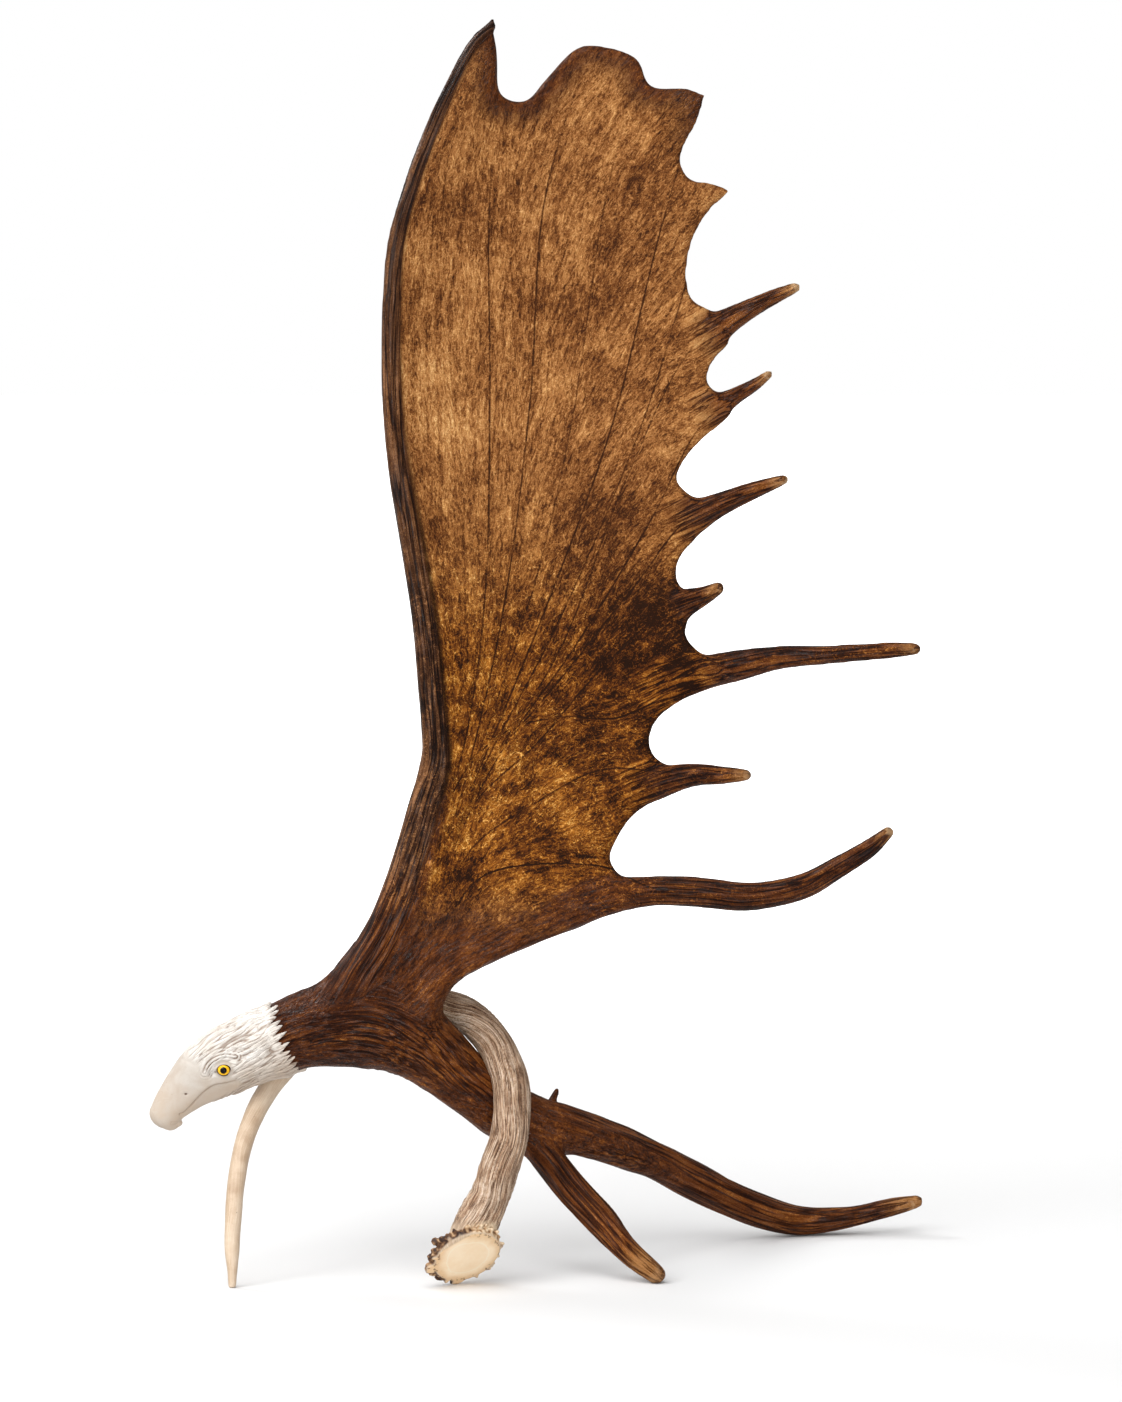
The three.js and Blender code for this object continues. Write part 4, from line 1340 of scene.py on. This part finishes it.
def buildSupport():
    shape = supportShape
    face = np.array(shape["face"], float)
    inward = unit(np.array(shape["inward"], float))
    limbs = [addLimb(shape["stations"], 48, 1.6), addLimb(shape["foot"], 24, 1.0)]
    parts = [limbs[0], addBurrDisc(face, inward), limbs[1], *addKnobs(face, inward)]
    support = joinAndRemesh(parts, "deerAntler", shape["voxel"])
    fromFace = (readPoints(support) - face) @ inward
    nearBurr = fadeOut(14, 22, fromFace)
    relax(support, 0.5 * (1 - 0.75 * nearBurr * (fromFace < 30)), 6)
    points = readPoints(support)
    normals = readNormals(support)
    _, grain = limbFrame(points, shape["stations"])
    run = grain[:, 2]
    fromFace = (points - face) @ inward
    burrPart = (fromFace < 16) & (run < 45)
    fromAxis = np.linalg.norm((points - face) - inward * fromFace[:, None], axis=1)

    # furrows run the length of the beam and fade out on the smooth leg
    beam = smoothStep(-5, 12, run) * fadeOut(265, 330, run)
    wander = softNoise(np.column_stack([run, 0 * run, 0 * run]), 45.0, 3.0)
    angle = np.arctan2(grain[:, 0], grain[:, 1]) + 0.5 * wander
    acrossUnit, alongUnit = shape["furrowUnits"]
    around = np.column_stack([acrossUnit * np.cos(angle), acrossUnit * np.sin(angle), run / alongUnit])
    furrows = np.clip(np.abs(softNoise(around, 1.0, 7.0)) * 3.2, 0, 1)
    fineFurrows = np.clip(np.abs(softNoise(around * [2.1, 2.1, 1.6], 1.0, 17.0)) * 3.0, 0, 1)
    bumps = softNoise(points, 4.2, 3.0) * fadeOut(25, 95, run)
    notBurr = np.where(burrPart, smoothStep(8, 13, fromFace), 1.0)
    burrBumps = softNoise(points, 2.4, 13.0)
    onKnobs = np.where(burrPart, smoothStep(0.3, 1.6, fromFace) * fadeOut(9, 14, fromFace), 0.0)
    carved = shape["furrowDepth"] * furrows + shape["fineDepth"] * fineFurrows
    lift = beam * notBurr * (carved - 0.6 + shape["bumpHeight"] * bumps)
    lift += shape["unevenness"] * softNoise(points, 17.0, 8.0) * notBurr + onKnobs * burrBumps
    points = points + normals * lift[:, None]
    # sawn face, and the two feet worn flat
    fromFace = (points - face) @ inward
    points -= inward * np.where(burrPart | (run < 60), np.minimum(fromFace, 0.0), 0.0)[:, None]
    points[:, 2] = np.maximum(points[:, 2], 0)
    # the knobs nearest the front are rubbed down
    beyond = np.maximum(shape["rubbedFrom"] - points[:, 1], 0)
    points[:, 1] += beyond - shape["rubbedDepth"] * (1 - np.exp(-beyond / shape["rubbedDepth"]))
    writePoints(support, points)

    onFace = fadeOut(0.1, 0.6, (points - face) @ inward) * (run < 60)
    storeAttribute(support, "furrows", around)
    storeAttribute(support, "zones", beam * notBurr, onKnobs, onFace)
    storeAttribute(support, "depth", furrows, fineFurrows, np.where(burrPart, burrBumps, 0.0))
    storeAttribute(support, "toRight", (points - face) @ faceAxes(inward)[0] * mm)
    storeAttribute(support, "fromAxis", fromAxis * mm)
    layInFrame(support)
    return support


def paleAntlerMaterial():
    material, tree = newMaterial("paleAntler")
    place = objectPlace(tree)
    toRight, fromAxis = attributeOf(tree, "toRight"), attributeOf(tree, "fromAxis")
    beam, knobs, onFace = attributeOf(tree, "zones", "Vector").parts()
    furrows, fineFurrows, burrBumps = attributeOf(tree, "depth", "Vector").parts()
    furrowPlace = attributeOf(tree, "furrows", "Vector").vector("MULTIPLY", (3.0, 3.0, 2.2))
    threads = furrowPlace.noise(1.0, 3.0, 0.6, 0.25)
    lines = threads.lines(0.05)
    cloud = place.noise(45.0, 4.0, 0.6)
    centredCloud = cloud - 0.5
    pores = place.noise(330.0, 3.0, 0.6)
    # colour of the beam: cream ridges, brown furrows
    depth = (furrows - 0.5) * 0.26 + (fineFurrows - 0.5) * 0.26 - lines * 0.50
    depth = depth + centredCloud * 0.9 + (threads - 0.5) * 0.5 + 0.52
    beamColour = depth.ramp([
        (0.06, (0.050, 0.018, 0.007)), (0.26, (0.180, 0.082, 0.036)), (0.45, (0.42, 0.25, 0.145)),
        (0.62, (0.57, 0.395, 0.265)), (0.85, (0.76, 0.61, 0.48)),
    ])
    legColour = (threads * 0.45 + cloud * 0.55 - lines * 0.06).ramp([
        (0.30, (0.36, 0.235, 0.145)), (0.46, (0.55, 0.41, 0.285)), (0.62, (0.70, 0.58, 0.45)),
    ])
    knobTone = burrBumps * 0.85 + centredCloud * 1.8 + toRight.ranged(-0.014, 0.010, -0.12, 0.50)
    knobColour = (knobTone * 0.6 + 0.42).ramp([
        (0.20, (0.030, 0.010, 0.004)), (0.40, (0.12, 0.050, 0.018)), (0.58, (0.40, 0.235, 0.115)),
        (0.80, (0.72, 0.55, 0.37)),
    ])
    # sawn face: cream, a paler core ringed by a thin line, tan and pitted towards the rim
    uneven = fromAxis + centredCloud * 0.010
    pits = pores.ranged(0.57, 0.64) * uneven.ranged(0.0212, 0.0250)
    core = layered(
        mixColour(cloud.ranged(0.35, 0.7), (0.95, 0.77, 0.55), (0.90, 0.68, 0.44)),
        (abs(uneven - 0.0165).ranged(0.0, 0.0011, 0.5, 0.0), (0.97, 0.86, 0.68)),
        (uneven.ranged(0.0175, 0.0245, 0.0, 0.75), (0.74, 0.48, 0.25)),
        (pits * 0.85, (0.16, 0.070, 0.028)),
    )
    specks = pores.ranged(0.70, 0.76) * (1.0 - onFace) * 0.6
    colour = layered(
        legColour, (beam, beamColour), (knobs, knobColour), (onFace, core), (specks, (0.12, 0.065, 0.03))
    )
    height = (threads - lines * 0.5) * beam + pores * 0.15
    setSurface(tree, {
        "Base Color": colour, "Roughness": cloud.ranged(0.3, 0.7, 0.40, 0.58),
        "Specular IOR Level": 0.4, "Normal": height.bump(0.8, 0.0010),
    })
    return material


deerAntler = buildSupport()
dressPiece(deerAntler, "support_antler_shape", "support_antler", paleAntlerMaterial())
print("deer antler: furrowed,", len(deerAntler.data.polygons), "faces")


# floor, light and camera
def buildStage():
    clearSelection()
    bpy.ops.mesh.primitive_plane_add(size=60, location=(0, 0, -0.0004))
    floor = bpy.context.object
    floor.name = "studioFloor"
    # white to the camera, greyer in what it throws back at the antler
    material, tree = newMaterial("studioFloorPaper")
    seen = addNode(tree, "ShaderNodeLightPath", output="Is Camera Ray")
    far = objectPlace(tree).vector("LENGTH").ranged(0.7, 2.3)
    setSurface(tree, {
        "Base Color": mixColour(seen, (0.60, 0.60, 0.60), (0.80, 0.80, 0.80)),
        "Emission Color": (1, 1, 1), "Emission Strength": far * seen,
        "Roughness": 0.95, "Specular IOR Level": 0.0,
    })
    floor.data.materials.append(material)
    # the backdrop is white, and lights the antler less than it looks
    world = bpy.data.worlds.new("studioLight")
    bpy.context.scene.world = world
    world.use_nodes = True
    backdrop = world.node_tree.nodes["Background"]
    seen = addNode(world.node_tree, "ShaderNodeLightPath", output="Is Camera Ray")
    feed(world.node_tree, backdrop.inputs["Color"], (1, 1, 1))
    feed(world.node_tree, backdrop.inputs["Strength"], mixValue(seen, 0.28, 1.0))


def addLamp(name, kind, place, way, **settings):
    clearSelection()
    bpy.ops.object.light_add(type=kind, location=place)
    lamp = bpy.context.object
    lamp.name = name
    for setting, value in settings.items():
        setattr(lamp.data, setting, value)
    lamp.rotation_euler = Vector(way).to_track_quat("-Z", "Y").to_euler()


def addSky(name, way, strength, spread):
    addLamp(name, "SUN", (0, 0, 3), way, energy=strength, angle=math.radians(spread))


def addSoftbox(name, place, aim, size, power):
    way = Vector(aim) - Vector(place)
    addLamp(name, "AREA", place, way, shape="DISK", size=size, energy=power)


buildStage()
addSky("keyLight", (0.38, 0.42, -1.0), 2.3, 70)
addSky("frontLight", (0.35, 1.0, -0.25), 1.45, 120)
addSoftbox("sideSoftbox", (-1.9, -1.2, 1.5), (0.0, 0.0, 0.45), 0.8, 9)
addSoftbox("rimSoftbox", (-1.8, 1.3, 1.9), (-0.1, 0.0, 0.4), 1.1, 28)
addSoftbox("lowSoftbox", (0.6, -2.3, 0.14), (-0.05, 0.0, 0.08), 0.7, 22)

cameraSpot = {"aim": (0.013, -0.0335, 0.4332), "distance": 3.5, "elevation": 5.0, "lens": 119.83}
cameraData = bpy.data.cameras.new("studioCamera")
camera = bpy.data.objects.new("studioCamera", cameraData)
bpy.context.scene.collection.objects.link(camera)
tilt = math.radians(cameraSpot["elevation"])
aim = Vector(cameraSpot["aim"])
camera.location = aim + cameraSpot["distance"] * Vector((0, -math.cos(tilt), math.sin(tilt)))
camera.rotation_euler = (math.pi / 2 - tilt, 0, 0)
cameraData.lens = cameraSpot["lens"]
bpy.context.scene.camera = camera
bpy.context.scene.view_settings.view_transform = "Standard"
print("floor, light and camera: set")
